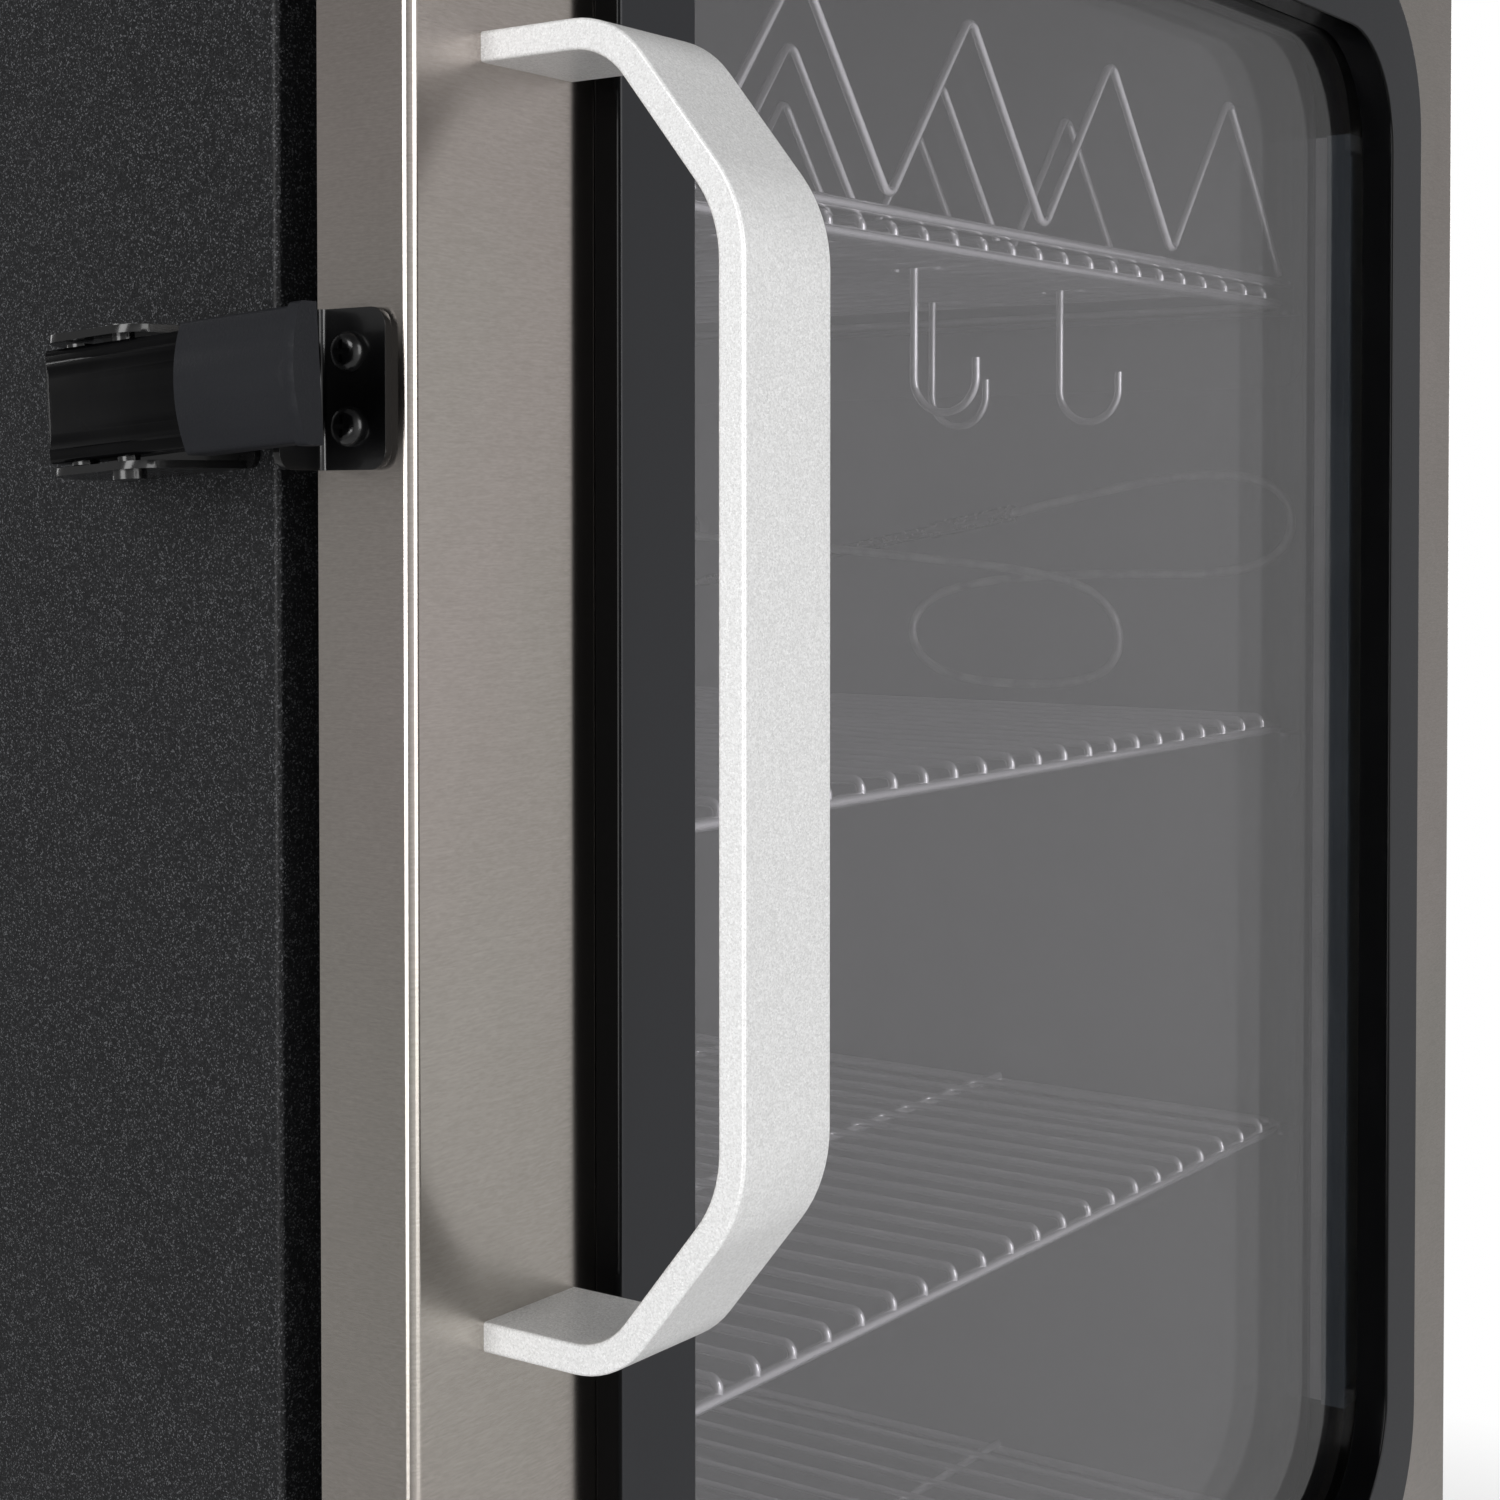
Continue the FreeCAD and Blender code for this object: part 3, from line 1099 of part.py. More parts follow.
def face_rod(name, x, lift, radius):
    """A round bar square to the control face, on the row of keys."""
    bar = doc.addObject("Part::Cylinder", name)
    bar.Placement.Rotation = FreeCAD.Rotation(FreeCAD.Vector(1, 0, 0), 90 - face_tilt())
    for letter, place in zip("xyz", (x, *on_face(KEY_ROW, lift[0]))):
        bind(bar, f"Placement.Base.{letter}", place)
    bind(bar, "Radius", radius)
    bar.Height = lift[1] - lift[0]
    return bar


def power_inlet():
    """Appliance inlet in the rear panel: flanged shroud with three blades."""
    flange = box("inlet_flange", (INLET_X - 22, INLET_X + 22), (BODY_BACK, BODY_BACK + 3),
                 (INLET_Z - 14, INLET_Z + 14))
    shroud = box("inlet_shroud", (INLET_X - 13.8, INLET_X + 13.8), (BODY_BACK - 16, BODY_BACK),
                 (INLET_Z - 10.3, INLET_Z + 10.3))
    recess = box("inlet_recess", (INLET_X - 11.8, INLET_X + 11.8), (BODY_BACK - 13, BODY_BACK + 9),
                 (INLET_Z - 8.3, INLET_Z + 8.3))
    hollow = cut("inlet_hollow", fuse("inlet_solid", [flange, shroud]), [recess])
    blades = [box(f"inlet_blade_{i}", (INLET_X + x - 1, INLET_X + x + 1),
                  (BODY_BACK - 13.5, BODY_BACK - 1), (INLET_Z + z - 2, INLET_Z + z + 2))
              for i, (x, z) in enumerate(((-7, -2), (0, 2), (7, -2)))]
    fuse("power_inlet", [hollow, *blades])


def sensor():
    """Thermometer stem through the rear liner."""
    stem = rod("sensor_stem", (SENSOR_X, CHAMBER_BACK - 28, SENSOR_Z), "y", 42, 2.5)
    flange = rod("sensor_flange", (SENSOR_X, CHAMBER_BACK - 1.5, SENSOR_Z), "y", 1.5, 8)
    fuse("temperature_sensor", [stem, flange])


def feet():
    """Four levelling feet under the corners."""
    inset = dim("foot_inset")
    singles = []
    for i, (x, y) in enumerate(((-HALF + inset, BODY_FRONT + inset), (HALF - inset, BODY_FRONT + inset),
                                (-HALF + inset, BODY_BACK - inset), (HALF - inset, BODY_BACK - inset))):
        sole = rod(f"foot_sole_{i}", (x, y, 0), "z", dim("foot_height"), dim("foot_radius"))
        stem = rod(f"foot_stem_{i}", (x, y, 0), "z", BOTTOM, dim("foot_stem"))
        nut = rod(f"foot_nut_{i}", (x, y, BOTTOM - 6), "z", 6, 9)
        singles.append(fuse(f"foot_{i}", [sole, stem, nut]))
    group("leveling_feet", singles)


# ---------------------------------------------------------------- build

HINGE_X = HALF - dim("hinge_inset")
HINGE_Y = FRONT + dim("hinge_setback")
CATCH_HOLES = [(FRONT + 12.6, CATCH_Z + z, 1.8) for z in (6.5, -6.5)]
ELEMENT_X, ELEMENT_HALF = as_size(110), as_size(75)
SENSOR_X, SENSOR_Z = as_size(120), as_size(640)
INLET_X, INLET_Z = as_size(150), as_size(82)
DRIP_Z = as_size(216)
KEY_PLACES = (-120, 105, 150)
KEY_NAMES = ("power_key", "minus_key", "plus_key")
KEY_ROW = 24
JACK_Y, JACK_Z, JACK_RADIUS = FRONT + 290, as_size(587), as_size(4.5)

# The probe lead's route from the socket to the crimp on the rod, each point (x, y, z).
ROUTE_FROM_FRONT = [
    (206, 290, 587), (195, 290, 587), (188, 280, 586), (189, 263, 584), (194, 239, 582),
    (196, 212, 580), (196, 184, 578), (197, 156, 575.5), (197, 130, 573), (198, 108, 568.5),
    (199, 96, 558.5), (200, 95, 545), (201, 105, 535.5), (202, 131, 532.8), (203, 161, 533.8),
    (204, 177, 540.5), (206, 183, 551.5), (207, 176, 562.5), (208, 157, 568.5),
    (208, 122, 571.5), (208, 92, 572), (209, 66, 572.3), (208.5, 47, 575.4),
    (208, 36.8, 584), (208, 36.8, 596.5), (207, 47, 604.5), (206, 66, 606), (205, 89, 603.5),
    (206, 114, 598.5), (206, 140, 593)]
PROBE_ROUTE = [(x, FRONT.value + y, z) for x, y, z in ROUTE_FROM_FRONT]
PROBE_TIP = (206, FRONT.value + 285, 565.1)

cabinet_shell()
door_skin()
window()
door_filling()
door_handle()
catch()
hinge_bracket("upper_hinge_bracket", DOOR_HIGH, 1)
hinge_bracket("lower_hinge_bracket", DOOR_LOW, -1)
latch()
racks()
rack_ledges()
probe()
heating_element()
pans()
chip_loader()
vent()
controls()
power_inlet()
sensor()
feet()

NODES = [
    "left_side_panel", "right_side_panel", "top_panel", "rear_panel", "base_panel", "front_frame",
    "chamber_liner", "wall_insulation", "door_skin", "window_bezel", "outer_glass", "glass_spacer",
    "inner_glass", "inner_glass_frame", "door_liner", "door_insulation", "door_gasket",
    "door_handle", "handle_screws", "catch_plate", "catch_screws", "upper_hinge_bracket",
    "lower_hinge_bracket", "latch_base", "latch_pivot_pin", "latch_lever", "lever_sleeve",
    "latch_hook", "hook_pin", "rib_rack_grid", "rib_dividers", "middle_rack", "lower_rack",
    "bottom_rack", "meat_hook_1", "meat_hook_2", "meat_hook_3", "rack_ledges", "probe_lead",
    "probe_rod", "probe_jack", "probe_clip", "heating_element", "water_pan", "drip_pan",
    "chip_tray", "grease_tray", "loader_sleeve",
    "chip_loader", "vent_pipe", "vent_damper", "control_housing", "display_lens",
    "control_board", "power_inlet", "temperature_sensor", "leveling_feet", *KEY_NAMES]


def check_and_export():
    """Stops on any failed object or bad shape, then writes each sub-part to its own file."""
    doc.recompute()
    failed = [o.Name for o in doc.Objects if "Invalid" in o.State or "Error" in o.State]
    if failed:
        raise RuntimeError(f"failed objects: {failed}")
    os.makedirs("parts", exist_ok=True)
    for name in NODES:
        item = doc.getObject(name)
        if item.Shape.isNull() or not item.Shape.isValid():
            raise RuntimeError(f"{name} has no valid shape")
        item.Label = name
        item.Shape.exportStep(f"parts/{name}.step")


check_and_export()
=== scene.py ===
import json
import math

import bpy
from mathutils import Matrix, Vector


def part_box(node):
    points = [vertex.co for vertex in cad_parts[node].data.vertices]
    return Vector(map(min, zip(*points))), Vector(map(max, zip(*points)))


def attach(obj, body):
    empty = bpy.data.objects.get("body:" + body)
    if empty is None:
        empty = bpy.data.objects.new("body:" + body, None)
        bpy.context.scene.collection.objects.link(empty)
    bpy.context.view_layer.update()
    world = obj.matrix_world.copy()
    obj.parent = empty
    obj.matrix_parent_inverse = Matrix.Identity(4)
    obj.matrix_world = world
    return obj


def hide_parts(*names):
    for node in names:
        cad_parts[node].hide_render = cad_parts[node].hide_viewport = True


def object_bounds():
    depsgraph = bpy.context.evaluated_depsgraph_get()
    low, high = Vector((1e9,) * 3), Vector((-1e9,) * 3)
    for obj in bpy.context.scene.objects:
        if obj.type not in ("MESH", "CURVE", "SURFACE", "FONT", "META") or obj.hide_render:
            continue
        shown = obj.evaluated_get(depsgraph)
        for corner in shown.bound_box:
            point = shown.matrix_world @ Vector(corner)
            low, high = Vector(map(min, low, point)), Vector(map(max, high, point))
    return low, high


# Looks of the electric cabinet smoker: camera, light, the probe's lead and every surface.
# Lengths are metres in the row frame: X to the right, Y into the cabinet, Z up.

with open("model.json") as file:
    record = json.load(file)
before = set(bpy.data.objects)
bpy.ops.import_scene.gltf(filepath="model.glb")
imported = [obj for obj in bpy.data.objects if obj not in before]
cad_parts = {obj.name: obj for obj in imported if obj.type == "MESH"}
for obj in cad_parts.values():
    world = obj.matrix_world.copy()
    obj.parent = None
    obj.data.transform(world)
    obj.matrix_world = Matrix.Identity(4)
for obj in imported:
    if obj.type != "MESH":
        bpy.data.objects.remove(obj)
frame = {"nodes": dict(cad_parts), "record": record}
cad_box = [list(corner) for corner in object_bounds()]
MM = 0.001

DOOR_LOW, DOOR_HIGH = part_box("door_skin")
DOOR_FRONT = DOOR_LOW.y
CATCH_LOW, CATCH_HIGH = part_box("catch_plate")
CATCH_HEIGHT = (CATCH_LOW.z + CATCH_HIGH.z) / 2
FLOOR_LEVEL = cad_box[0][2]
OBJECT_CENTRE = (Vector(cad_box[0]) + Vector(cad_box[1])) / 2


# ---------------------------------------------------------------- camera

LEFT_OF_DOOR = 0.322  # where the camera stands, in metres from the door and its catch
AHEAD_OF_DOOR = 0.2983
BELOW_CATCH = 0.022
HEADING = math.radians(54.82)  # from straight into the cabinet, towards the hinge side
PITCH_DOWN = math.radians(1.23)
FOCAL_LENGTH = 60.8  # millimetres, on a frame 36 mm wide
FRAME_WIDTH = 36
LENS_DROP = -0.12  # the picture's shift, as a share of the frame's width: negative looks lower


def make_camera():
    """Looks across the door's opening edge, from the left and a little above the middle."""
    lens = bpy.data.cameras.new("camera")
    lens.lens = FOCAL_LENGTH
    lens.sensor_width = FRAME_WIDTH
    lens.shift_y = LENS_DROP
    lens.clip_start = 0.01
    camera = bpy.data.objects.new("camera", lens)
    camera.location = (DOOR_LOW.x - LEFT_OF_DOOR, DOOR_FRONT - AHEAD_OF_DOOR,
                       CATCH_HEIGHT - BELOW_CATCH)
    camera.rotation_euler = (math.pi / 2 - PITCH_DOWN, 0, -HEADING)
    bpy.context.scene.collection.objects.link(camera)
    bpy.context.scene.camera = camera


# ---------------------------------------------------------------- light and floor

def soft_box(name, place, target, width, height, watts):
    """A large rectangular lamp that faces a point on the object."""
    lamp = bpy.data.lights.new(name, "AREA")
    lamp.shape = "RECTANGLE"
    lamp.size = width
    lamp.size_y = height
    lamp.energy = watts
    holder = bpy.data.objects.new(name, lamp)
    holder.location = place
    aim = Vector(target) - Vector(place)
    holder.rotation_euler = aim.to_track_quat("-Z", "Y").to_euler()
    bpy.context.scene.collection.objects.link(holder)


def make_lights():
    """A strong lamp on the latch side, a softer one in front, weaker ones on the right and behind."""
    middle = OBJECT_CENTRE
    soft_box("left_softbox", (-2.4, -0.2, 0.9), middle, 1.2, 2.2, 46)
    soft_box("front_softbox", (-0.1, -2.7, 1.0), middle, 1.5, 2.0, 30)
    soft_box("right_softbox", (2.6, 0.4, 1.2), middle, 1.2, 1.6, 18)
    soft_box("rear_softbox", (0.3, 2.8, 1.2), middle, 1.4, 1.6, 24)


STUDIO_FRONT = 0.95  # light from straight in front of the door
STUDIO_SIDE = 0.36  # light from the sides and from behind
SIDE_BEGINS = -0.34  # how far forward a direction still counts as the side
OVERHEAD_SHARE = 0.34  # how much of that is left straight above


def make_world():
    """Plain white behind the object, and a grey studio for its light and reflections."""
    world = bpy.data.worlds.new("studio")
    bpy.context.scene.world = world
    world.use_nodes = True
    nodes, links = world.node_tree.nodes, world.node_tree.links
    nodes.clear()
    direction = nodes.new("ShaderNodeTexCoord")
    split = nodes.new("ShaderNodeSeparateXYZ")
    links.new(direction.outputs["Generated"], split.inputs[0])
    shares = []
    for axis, spans in (("Y", (-1, SIDE_BEGINS, STUDIO_FRONT, STUDIO_SIDE)),
                        ("Z", (0.05, 0.8, 1, OVERHEAD_SHARE))):
        ramp = nodes.new("ShaderNodeMapRange")
        for socket, value in zip(("From Min", "From Max", "To Min", "To Max"), spans):
            ramp.inputs[socket].default_value = value
        links.new(split.outputs[axis], ramp.inputs["Value"])
        shares.append(ramp.outputs["Result"])
    product = nodes.new("ShaderNodeMath")
    product.operation = "MULTIPLY"
    for socket, share in zip(product.inputs, shares):
        links.new(share, socket)
    studio = nodes.new("ShaderNodeBackground")
    studio.inputs["Color"].default_value = (1, 1, 1, 1)
    links.new(product.outputs["Value"], studio.inputs["Strength"])
    backdrop = nodes.new("ShaderNodeBackground")
    backdrop.inputs["Color"].default_value = (1, 1, 1, 1)
    path = nodes.new("ShaderNodeLightPath")
    mix = nodes.new("ShaderNodeMixShader")
    output = nodes.new("ShaderNodeOutputWorld")
    links.new(path.outputs["Is Camera Ray"], mix.inputs["Fac"])
    links.new(studio.outputs[0], mix.inputs[1])
    links.new(backdrop.outputs[0], mix.inputs[2])
    links.new(mix.outputs[0], output.inputs["Surface"])


FLOOR_SOLID = 0.55  # the floor fades into the white backdrop between these two radii
FLOOR_GONE = 1.05
FLOOR_SIDES = 96


def make_floor():
    """A pale floor at the feet that fades into the backdrop all round."""
    mesh = bpy.data.meshes.new("floor")
    rim = [(math.cos(turn) * FLOOR_GONE, math.sin(turn) * FLOOR_GONE, FLOOR_LEVEL)
           for turn in (math.tau * step / FLOOR_SIDES for step in range(FLOOR_SIDES))]
    mesh.from_pydata(rim, [], [range(FLOOR_SIDES)])
    floor = bpy.data.objects.new("floor", mesh)
    bpy.context.scene.collection.objects.link(floor)
    paint = Surface("pale_floor", {"Base Color": (0.80, 0.80, 0.80, 1), "Roughness": 0.8})
    nodes, links = paint.nodes, paint.links
    radius = nodes.new("ShaderNodeVectorMath")
    radius.operation = "LENGTH"
    links.new(paint.where.outputs["Object"], radius.inputs[0])
    fade = paint.spread(radius.outputs["Value"], FLOOR_SOLID, FLOOR_GONE, 0, 1)
    clear = nodes.new("ShaderNodeBsdfTransparent")
    mix = nodes.new("ShaderNodeMixShader")
    links.new(fade, mix.inputs["Fac"])
    links.new(paint.shader.outputs[0], mix.inputs[1])
    links.new(clear.outputs[0], mix.inputs[2])
    links.new(mix.outputs[0], nodes["Material Output"].inputs["Surface"])
    paint.put_on(floor)


# ---------------------------------------------------------------- surface recipes

class Surface:
    """A node material: one Principled shader fed by patterns in the piece's own coordinates."""

    def __init__(self, name, constants):
        self.material = bpy.data.materials.new(name)
        self.material.use_nodes = True
        self.nodes = self.material.node_tree.nodes
        self.links = self.material.node_tree.links
        self.shader = self.nodes["Principled BSDF"]
        for socket, value in constants.items():
            self.shader.inputs[socket].default_value = value
        self.where = self.nodes.new("ShaderNodeTexCoord")

    def put_on(self, piece):
        piece.data.materials.clear()
        piece.data.materials.append(self.material)

    def feed(self, socket, source):
        self.links.new(source, self.shader.inputs[socket])

    def stretched(self, stretch):
        """Coordinates scaled per axis: a pattern's features are 1/stretch metres long."""
        mapping = self.nodes.new("ShaderNodeMapping")
        mapping.inputs["Scale"].default_value = stretch
        self.links.new(self.where.outputs["Object"], mapping.inputs["Vector"])
        return mapping.outputs["Vector"]

    def height(self):
        """The piece's own Z, in metres."""
        split = self.nodes.new("ShaderNodeSeparateXYZ")
        self.links.new(self.where.outputs["Object"], split.inputs[0])
        return split.outputs["Z"]

    def noise(self, stretch, detail=2.0, roughness=0.5, distortion=0.0):
        texture = self.nodes.new("ShaderNodeTexNoise")
        texture.inputs["Scale"].default_value = 1.0
        texture.inputs["Detail"].default_value = detail
        texture.inputs["Roughness"].default_value = roughness
        texture.inputs["Distortion"].default_value = distortion
        self.links.new(self.stretched(stretch), texture.inputs["Vector"])
        return texture.outputs["Fac"]

    def flakes(self, size):
        """A random value for each small cell."""
        texture = self.nodes.new("ShaderNodeTexVoronoi")
        texture.inputs["Scale"].default_value = 1.0
        self.links.new(self.stretched((1 / size,) * 3), texture.inputs["Vector"])
        split = self.nodes.new("ShaderNodeSeparateColor")
        self.links.new(texture.outputs["Color"], split.inputs["Color"])
        return split.outputs["Red"]

    def spread(self, source, from_low, from_high, to_low, to_high):
        """Maps one span of values on another, held at its ends."""
        node = self.nodes.new("ShaderNodeMapRange")
        for socket, value in zip(("From Min", "From Max", "To Min", "To Max"),
                                 (from_low, from_high, to_low, to_high)):
            node.inputs[socket].default_value = value
        self.links.new(source, node.inputs["Value"])
        return node.outputs["Result"]

    def maths(self, operation, first, second):
        """Arithmetic on a pattern and another pattern or a number."""
        node = self.nodes.new("ShaderNodeMath")
        node.operation = operation
        for socket, value in zip(node.inputs, (first, second)):
            if isinstance(value, (int, float)):
                socket.default_value = value
            else:
                self.links.new(value, socket)
        return node.outputs["Value"]

    def tint(self, source, stops):
        """Turns a pattern into colour. Stops are (place, (red, green, blue))."""
        ramp = self.nodes.new("ShaderNodeValToRGB")
        elements = ramp.color_ramp.elements
        while len(elements) < len(stops):
            elements.new(0.5)
        for element, (place, colour) in zip(elements, stops):
            element.position = place
            element.color = (*colour, 1)
        self.links.new(source, ramp.inputs["Fac"])
        return ramp.outputs["Color"]

    def blend(self, share, first, second, mode="MIX"):
        """Mixes two colours by a pattern or a number."""
        node = self.nodes.new("ShaderNodeMix")
        node.data_type = "RGBA"
        node.blend_type = mode
        for socket, value in ((node.inputs[0], share), (node.inputs[6], first),
                              (node.inputs[7], second)):
            if isinstance(value, (int, float)):
                socket.default_value = value
            elif isinstance(value, tuple):
                socket.default_value = (*value, 1)
            else:
                self.links.new(value, socket)
        return node.outputs[2]

    def bump(self, height, depth, strength):
        node = self.nodes.new("ShaderNodeBump")
        node.inputs["Distance"].default_value = depth
        node.inputs["Strength"].default_value = strength
        self.links.new(height, node.inputs["Height"])
        return node.outputs["Normal"]

    def facing(self, axis):
        """How squarely the surface faces one of the piece's own axes, 0 to 1."""
        split = self.nodes.new("ShaderNodeSeparateXYZ")
        self.links.new(self.where.outputs["Normal"], split.inputs[0])
        return self.maths("ABSOLUTE", split.outputs[axis], 0)


def stainless():
    """Fine horizontal brushing and short dashes over cloudy, slightly warm patches."""
    steel = Surface("stainless", {"Metallic": 1.0, "Anisotropic": 0.9,
                                  "Anisotropic Rotation": 0.25})
    around = steel.nodes.new("ShaderNodeTangent")
    around.direction_type = "RADIAL"
    around.axis = "Z"
    steel.feed("Tangent", around.outputs["Tangent"])
    grain = steel.noise((150, 150, 2600), 4, 0.65)
    dashes = steel.noise((600, 600, 3000), 2, 0.6)
    clouds = steel.noise((16, 16, 11), 4, 0.6)
    patches = steel.noise((11, 11, 7), 2, 0.5, 0.4)
    warm = steel.tint(clouds, [(0.30, (0.508, 0.456, 0.423)), (0.55, (0.545, 0.491, 0.459)),
                               (0.75, (0.580, 0.519, 0.490))])
    cool = steel.tint(clouds, [(0.35, (0.502, 0.471, 0.430)), (0.70, (0.550, 0.512, 0.472))])
    ground = steel.blend(steel.spread(patches, 0.42, 0.60, 0, 1), warm, cool)
    flecks = steel.tint(dashes, [(0.35, (0.90, 0.895, 0.885)), (0.65, (1.0, 1.0, 1.0))])
    lines = steel.tint(grain, [(0.30, (0.91, 0.91, 0.91)), (0.70, (1.0, 1.0, 1.0))])
    flecked = steel.blend(1.0, ground, flecks, "MULTIPLY")
    steel.feed("Base Color", steel.blend(1.0, flecked, lines, "MULTIPLY"))
    steel.feed("Roughness", steel.spread(clouds, 0.3, 0.7, 0.20, 0.24))
    steel.feed("Normal", steel.bump(grain, 0.004 * MM, 0.5))
    return steel


def black_coat():
    """Powder coat with a fine pebbled skin; its raised pebbles are painted lighter as painted
    highlight, and bright specks are painted into its colour as painted glints.
    """
    coat = Surface("black_coat", {"Specular IOR Level": 0.2})
    pebbles = coat.noise((2100,) * 3, 2, 0.55)
    swell = coat.noise((520,) * 3, 1)
    # Painted glints: bright specks put into the base colour at random, standing in for sparkle
    # highlights.
    painted_glints = coat.spread(coat.flakes(0.27 * MM), 0.80, 1.0, 0, 1)
    haze = coat.noise((7, 7, 5), 2)
    ground = coat.tint(haze, [(0.3, (0.0030, 0.0032, 0.0038)), (0.7, (0.0062, 0.0064, 0.0072))])
    # Painted highlight: the raised pebbles are coloured lighter than the hollows between them.
    painted_lit_tops = coat.blend(coat.spread(pebbles, 0.45, 0.75, 0, 1), ground, (0.0160, 0.0165, 0.0180))
    coat.feed("Base Color", coat.blend(painted_glints, painted_lit_tops, (0.090, 0.092, 0.097)))
    coat.feed("Roughness", coat.spread(swell, 0.3, 0.7, 0.40, 0.50))
    height = coat.maths("ADD", pebbles, coat.maths("MULTIPLY", swell, 0.6))
    coat.feed("Normal", coat.bump(height, 0.12 * MM, 0.9))
    return coat


def chamber_steel():
    """Satin grey sheet with faint rolling lines and smoke haze."""
    sheet = Surface("chamber_steel", {"Metallic": 0.75})
    lines = sheet.noise((40, 40, 1300), 3, 0.6)
    haze = sheet.noise((6, 6, 5), 3, 0.55, 0.3)
    sheet.feed("Base Color", sheet.tint(haze, [(0.3, (0.284, 0.280, 0.286)),
                                               (0.7, (0.362, 0.358, 0.360))]))
    sheet.feed("Roughness", sheet.spread(lines, 0.25, 0.75, 0.36, 0.48))
    sheet.feed("Normal", sheet.bump(lines, 0.02 * MM, 0.5))
    return sheet


def charcoal():
    """Satin charcoal moulding whose side walls are glossier than its face and coloured darker by which
    way they face, as painted shade.
    """
    moulding = Surface("charcoal", {})
    face = moulding.spread(moulding.facing("Y"), 0.80, 0.95, 0, 1)
    grain = moulding.noise((1800,) * 3, 2)
    wear = moulding.noise((18, 18, 7), 3)
    satin = moulding.tint(wear, [(0.3, (0.0070, 0.0077, 0.0105)), (0.7, (0.0095, 0.0102, 0.0135))])
    # Painted shade: surfaces not facing straight out get a near-black colour, while the face keeps the
    # satin charcoal; the walls' extra gloss is real.
    moulding.feed("Base Color", moulding.blend(face, (0.0009, 0.0010, 0.0012), satin))
    softness = moulding.spread(face, 0, 1, 0.13, 0.40)
    moulding.feed("Roughness", moulding.maths("ADD", softness, moulding.spread(grain, .3, .7, 0, .05)))
    moulding.feed("Specular IOR Level", moulding.spread(face, 0, 1, 0.14, 0.4))
    moulding.feed("Normal", moulding.bump(grain, 0.015 * MM, 0.5))
    return moulding


def silver_coat():
    """Silver powder paint full of fine bright flakes."""
    paint = Surface("silver_coat", {"Metallic": 0.25, "Specular IOR Level": 0.5})
    flakes = paint.flakes(0.32 * MM)
    fine = paint.flakes(0.17 * MM)
    pebbles = paint.noise((1300,) * 3, 2)
    ground = paint.tint(flakes, [(0.0, (0.56, 0.56, 0.557)), (0.5, (0.74, 0.74, 0.735)),
                                 (0.9, (0.90, 0.90, 0.90)), (1.0, (1.0, 1.0, 1.0))])
    dust = paint.tint(fine, [(0.0, (0.64, 0.64, 0.637)), (1.0, (0.95, 0.95, 0.95))])
    paint.feed("Base Color", paint.blend(0.45, ground, dust))
    paint.feed("Roughness", paint.spread(flakes, 0, 1, 0.48, 0.30))
    paint.feed("Normal", paint.bump(pebbles, 0.10 * MM, 0.7))
    return paint


PAINT_SHINE = 0.5  # specular level of the gloss paint, fresh and worn
WORN_SHINE = 0.07


def gloss_black(name, specular):
    """Thick gloss paint with a slight orange peel."""
    paint = Surface(name, {"Specular IOR Level": specular, "Coat Weight": specular / 2,
                           "Coat Roughness": 0.08})
    peel = paint.noise((420,) * 3, 2)
    dust = paint.noise((60, 60, 60), 3)
    paint.feed("Base Color", paint.tint(dust, [(0.3, (0.0012, 0.0012, 0.0014)),
                                               (0.7, (0.0024, 0.0024, 0.0027))]))
    paint.feed("Roughness", paint.spread(dust, 0.3, 0.7, 0.20, 0.30))
    paint.feed("Normal", paint.bump(peel, 0.05 * MM, 0.5))
    return paint


def moulded(name, dark, light, roughness, grain_size, depth, specular=0.4):
    """Moulded rubber or plastic, or a dulled metal, with a fine grain."""
    skin = Surface(name, {"Specular IOR Level": specular})
    grain = skin.noise((1 / grain_size,) * 3, 2, 0.6)
    bloom = skin.noise((40, 40, 40), 3)
    skin.feed("Base Color", skin.tint(bloom, [(0.3, dark), (0.7, light)]))
    skin.feed("Roughness", skin.spread(grain, 0.3, 0.7, roughness - 0.05, roughness + 0.05))
    skin.feed("Normal", skin.bump(grain, depth, 0.7))
    return skin


def bare_metal(name, dark, light, roughness, grain=(500, 500, 500), depth=0.01 * MM, metallic=1.0):
    """Plain metal with faint marks that change its shade and its polish."""
    metal = Surface(name, {"Metallic": metallic})
    marks = metal.noise(grain, 3, 0.6)
    haze = metal.noise((45, 45, 45), 2)
    metal.feed("Base Color", metal.tint(haze, [(0.3, dark), (0.7, light)]))
    metal.feed("Roughness", metal.spread(marks, 0.3, 0.7, roughness - 0.04, roughness + 0.06))
    metal.feed("Normal", metal.bump(marks, depth, 0.5))
    return metal


WINDOW_LOW, WINDOW_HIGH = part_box("outer_glass")
WINDOW_MIDDLE = (WINDOW_LOW.z + WINDOW_HIGH.z) / 2
STRAIGHT_HALF = 202 * MM  # half the height of the window's straight sides


def seal_corners(skin):
    """Blackens a part between the panes round the corners, past the straight sides."""
    plain = skin.shader.inputs["Base Color"].links[0].from_socket
    ends = [(WINDOW_MIDDLE + side * STRAIGHT_HALF, WINDOW_MIDDLE + side * (STRAIGHT_HALF + 0.3 * MM))
            for side in (-1, 1)]
    below, above = (skin.spread(skin.height(), *end, 1, 0) for end in ends)
    skin.feed("Base Color", skin.blend(skin.maths("MULTIPLY", below, above),
                                       (0.003, 0.003, 0.003), plain))
    return skin


PANE_TINT = (0.952, 0.948, 0.958, 1)
HEAD_ON_SHINE = 0.065


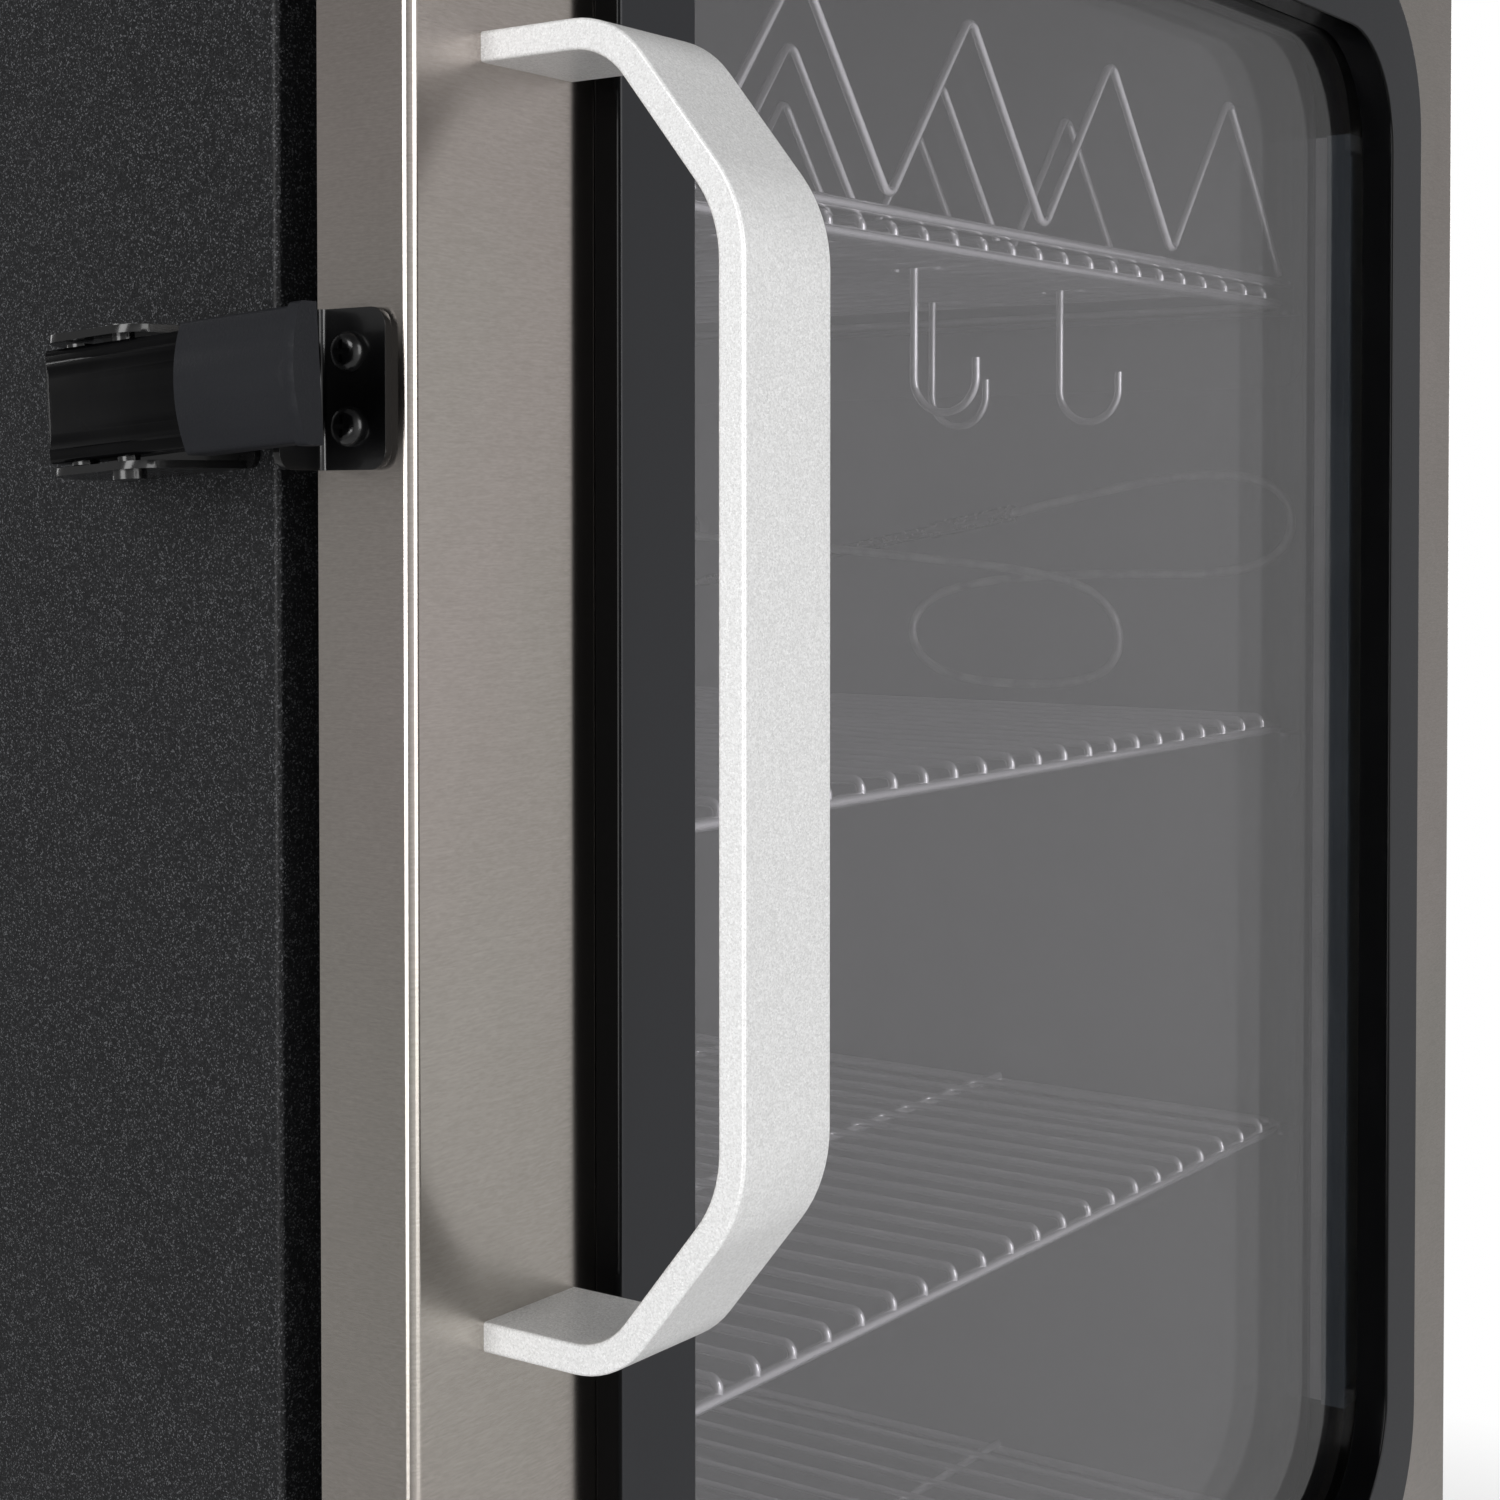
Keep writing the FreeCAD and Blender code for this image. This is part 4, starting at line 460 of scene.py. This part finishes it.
def pane():
    """Clear tempered glass: mostly see-through, mirroring more at a slant."""
    glass = Surface("pane", {"Base Color": (0.02, 0.022, 0.022, 1), "Specular IOR Level": 0.5})
    smears = glass.noise((14, 14, 9), 4, 0.6, 0.6)
    nodes, links = glass.nodes, glass.links
    slant = nodes.new("ShaderNodeLayerWeight")
    slant.inputs["Blend"].default_value = 0.5
    rise = glass.maths("POWER", slant.outputs["Facing"], 5)
    shine = glass.spread(rise, 0, 1, HEAD_ON_SHINE, 1)
    mirror = nodes.new("ShaderNodeBsdfGlossy")
    mirror.inputs["Color"].default_value = (1, 1, 1, 1)
    links.new(glass.spread(smears, 0.35, 0.75, 0.02, 0.10), mirror.inputs["Roughness"])
    clear = nodes.new("ShaderNodeBsdfTransparent")
    clear.inputs["Color"].default_value = PANE_TINT
    mix = nodes.new("ShaderNodeMixShader")
    links.new(shine, mix.inputs["Fac"])
    links.new(clear.outputs[0], mix.inputs[1])
    links.new(mirror.outputs[0], mix.inputs[2])
    links.new(mix.outputs[0], nodes["Material Output"].inputs["Surface"])
    return glass


def mineral_wool():
    """Fibrous slab."""
    wool = Surface("mineral_wool", {"Roughness": 0.95, "Sheen Weight": 0.3})
    fibres = wool.noise((700, 90, 700), 4, 0.7, 0.8)
    wool.feed("Base Color", wool.tint(fibres, [(0.3, (0.34, 0.29, 0.16)), (0.7, (0.62, 0.55, 0.36))]))
    wool.feed("Normal", wool.bump(fibres, 0.8 * MM, 0.8))
    return wool


def lead_braid():
    """Steel sleeve with the fine roughness of woven strands."""
    braid = Surface("lead_braid", {"Metallic": 0.6})
    strands = braid.noise((1400,) * 3, 1, 0.4)
    tone = braid.noise((120,) * 3, 2)
    braid.feed("Base Color", braid.tint(tone, [(0.3, (0.42, 0.42, 0.415)), (0.7, (0.62, 0.615, 0.60))]))
    braid.feed("Roughness", braid.spread(strands, 0.3, 0.7, 0.38, 0.55))
    braid.feed("Normal", braid.bump(strands, 0.25 * MM, 1.0))
    return braid


def make_surfaces():
    """One recipe for each material slot of the record."""
    return {
        "stainless": stainless(),
        "black_coat": black_coat(),
        "chamber_steel": chamber_steel(),
        "charcoal": charcoal(),
        "silver_coat": silver_coat(),
        "gloss_black": gloss_black("gloss_black", PAINT_SHINE),
        "rubber": moulded("rubber", (0.0052, 0.0058, 0.0082), (0.0080, 0.0086, 0.0112), 0.62,
                          0.5 * MM, 0.10 * MM, specular=0.24),
        "gasket_rubber": moulded("gasket_rubber", (0.010, 0.010, 0.010), (0.015, 0.015, 0.015),
                                 0.6, 1.2 * MM, 0.05 * MM),
        "chrome_wire": bare_metal("chrome_wire", (0.92, 0.92, 0.91), (0.98, 0.98, 0.97), 0.20,
                                  metallic=0.72),
        "plated_steel": bare_metal("plated_steel", (0.50, 0.49, 0.47), (0.64, 0.63, 0.60), 0.24),
        "pane": pane(),
        "spacer_metal": seal_corners(moulded("spacer_metal", (0.060, 0.072, 0.083),
                                             (0.078, 0.092, 0.104), 0.38, 1.5 * MM, 0.02 * MM)),
        "bare_aluminium": seal_corners(moulded("bare_aluminium", (0.70, 0.70, 0.69),
                                               (0.86, 0.86, 0.85), 0.36, 1.5 * MM, 0.02 * MM)),
        "mineral_wool": mineral_wool(),
        "lead_braid": lead_braid(),
        "black_plastic": moulded("black_plastic", (0.012, 0.012, 0.013), (0.018, 0.018, 0.019),
                                 0.46, 0.8 * MM, 0.08 * MM),
        "display": moulded("display", (0.006, 0.010, 0.018), (0.009, 0.014, 0.024), 0.12,
                           4 * MM, 0.01 * MM),
        "circuit": moulded("circuit", (0.010, 0.075, 0.030), (0.018, 0.120, 0.050), 0.4,
                           2 * MM, 0.05 * MM),
        "element_sheath": bare_metal("element_sheath", (0.16, 0.145, 0.13), (0.30, 0.27, 0.24),
                                     0.42, (300, 300, 300), 0.03 * MM),
        "foot_rubber": moulded("foot_rubber", (0.016, 0.016, 0.016), (0.026, 0.026, 0.026), 0.7,
                               0.9 * MM, 0.12 * MM),
    }


def dress_nodes(surfaces):
    """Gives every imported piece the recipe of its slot. The lever's paint is worn duller."""
    for part in frame["record"]["subparts"]:
        surfaces[part["material_slot"]].put_on(frame["nodes"][part["node"]])
    gloss_black("worn_black", WORN_SHINE).put_on(frame["nodes"]["latch_lever"])


# ---------------------------------------------------------------- broken edges

BROKEN_EDGES = {  # bevel widths in millimetres
    "door_handle": 0.7, "catch_plate": 0.45, "latch_base": 0.3, "latch_lever": 0.35,
    "lever_sleeve": 0.45, "window_bezel": 0.35, "control_housing": 1.2, "grease_tray": 0.4,
    "upper_hinge_bracket": 0.4, "lower_hinge_bracket": 0.4, "power_inlet": 0.6,
}
EDGE_ANGLE = math.radians(35)
WELD_DISTANCE = 0.002 * MM


def break_edges():
    """Small rounded edges on the pieces whose sharp ones would show."""
    for name, width in BROKEN_EDGES.items():
        piece = frame["nodes"][name]
        weld = piece.modifiers.new("weld", "WELD")
        weld.merge_threshold = WELD_DISTANCE
        bevel = piece.modifiers.new("bevel", "BEVEL")
        bevel.width = width * MM
        bevel.segments = 3
        bevel.limit_method = "ANGLE"
        bevel.angle_limit = EDGE_ANGLE
        bevel.harden_normals = True
        bevel.use_clamp_overlap = True


# ---------------------------------------------------------------- the meat probe's lead

LEAD_DIAMETER = 3 * MM
LEAD_ROUTE = [  # x, distance behind the door's front and height, in millimetres
    (206, 290, 587), (195, 290, 587), (188, 280, 586), (189, 263, 584), (194, 239, 582),
    (196, 212, 580), (196, 184, 578), (197, 156, 575.5), (197, 130, 573), (198, 108, 568.5),
    (199, 96, 558.5), (200, 95, 545), (201, 105, 535.5), (202, 131, 532.8), (203, 161, 533.8),
    (204, 177, 540.5), (206, 183, 551.5), (207, 176, 562.5), (208, 157, 568.5),
    (208, 122, 571.5), (208, 92, 572), (209, 66, 572.3), (208.5, 47, 575.4),
    (208, 36.8, 584), (208, 36.8, 596.5), (207, 47, 604.5), (206, 66, 606), (205, 89, 603.5),
    (206, 114, 598.5), (206, 140, 593)]


def make_probe_lead(surfaces):
    """The braided lead: from its socket, in one loose loop, to the probe's rod."""
    curve = bpy.data.curves.new("probe_cable", "CURVE")
    curve.dimensions = "3D"
    curve.bevel_depth = LEAD_DIAMETER / 2
    curve.bevel_resolution = 4
    curve.use_fill_caps = True
    curve.resolution_u = 10
    spline = curve.splines.new("NURBS")
    spline.points.add(len(LEAD_ROUTE) - 1)
    places = [(x * MM, DOOR_FRONT + back * MM, height * MM) for x, back, height in LEAD_ROUTE]
    for point, place in zip(spline.points, places):
        point.co = (*place, 1)
    spline.order_u = 3
    spline.use_endpoint_u = True
    lead = bpy.data.objects.new("probe_cable", curve)
    bpy.context.scene.collection.objects.link(lead)
    surfaces["lead_braid"].put_on(lead)
    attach(lead, "cabinet")
    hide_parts("probe_lead")


# ---------------------------------------------------------------- put together

bpy.context.scene.view_settings.view_transform = "Standard"
recipes = make_surfaces()
make_camera()
make_probe_lead(recipes)
dress_nodes(recipes)
break_edges()
make_world()
make_lights()
make_floor()
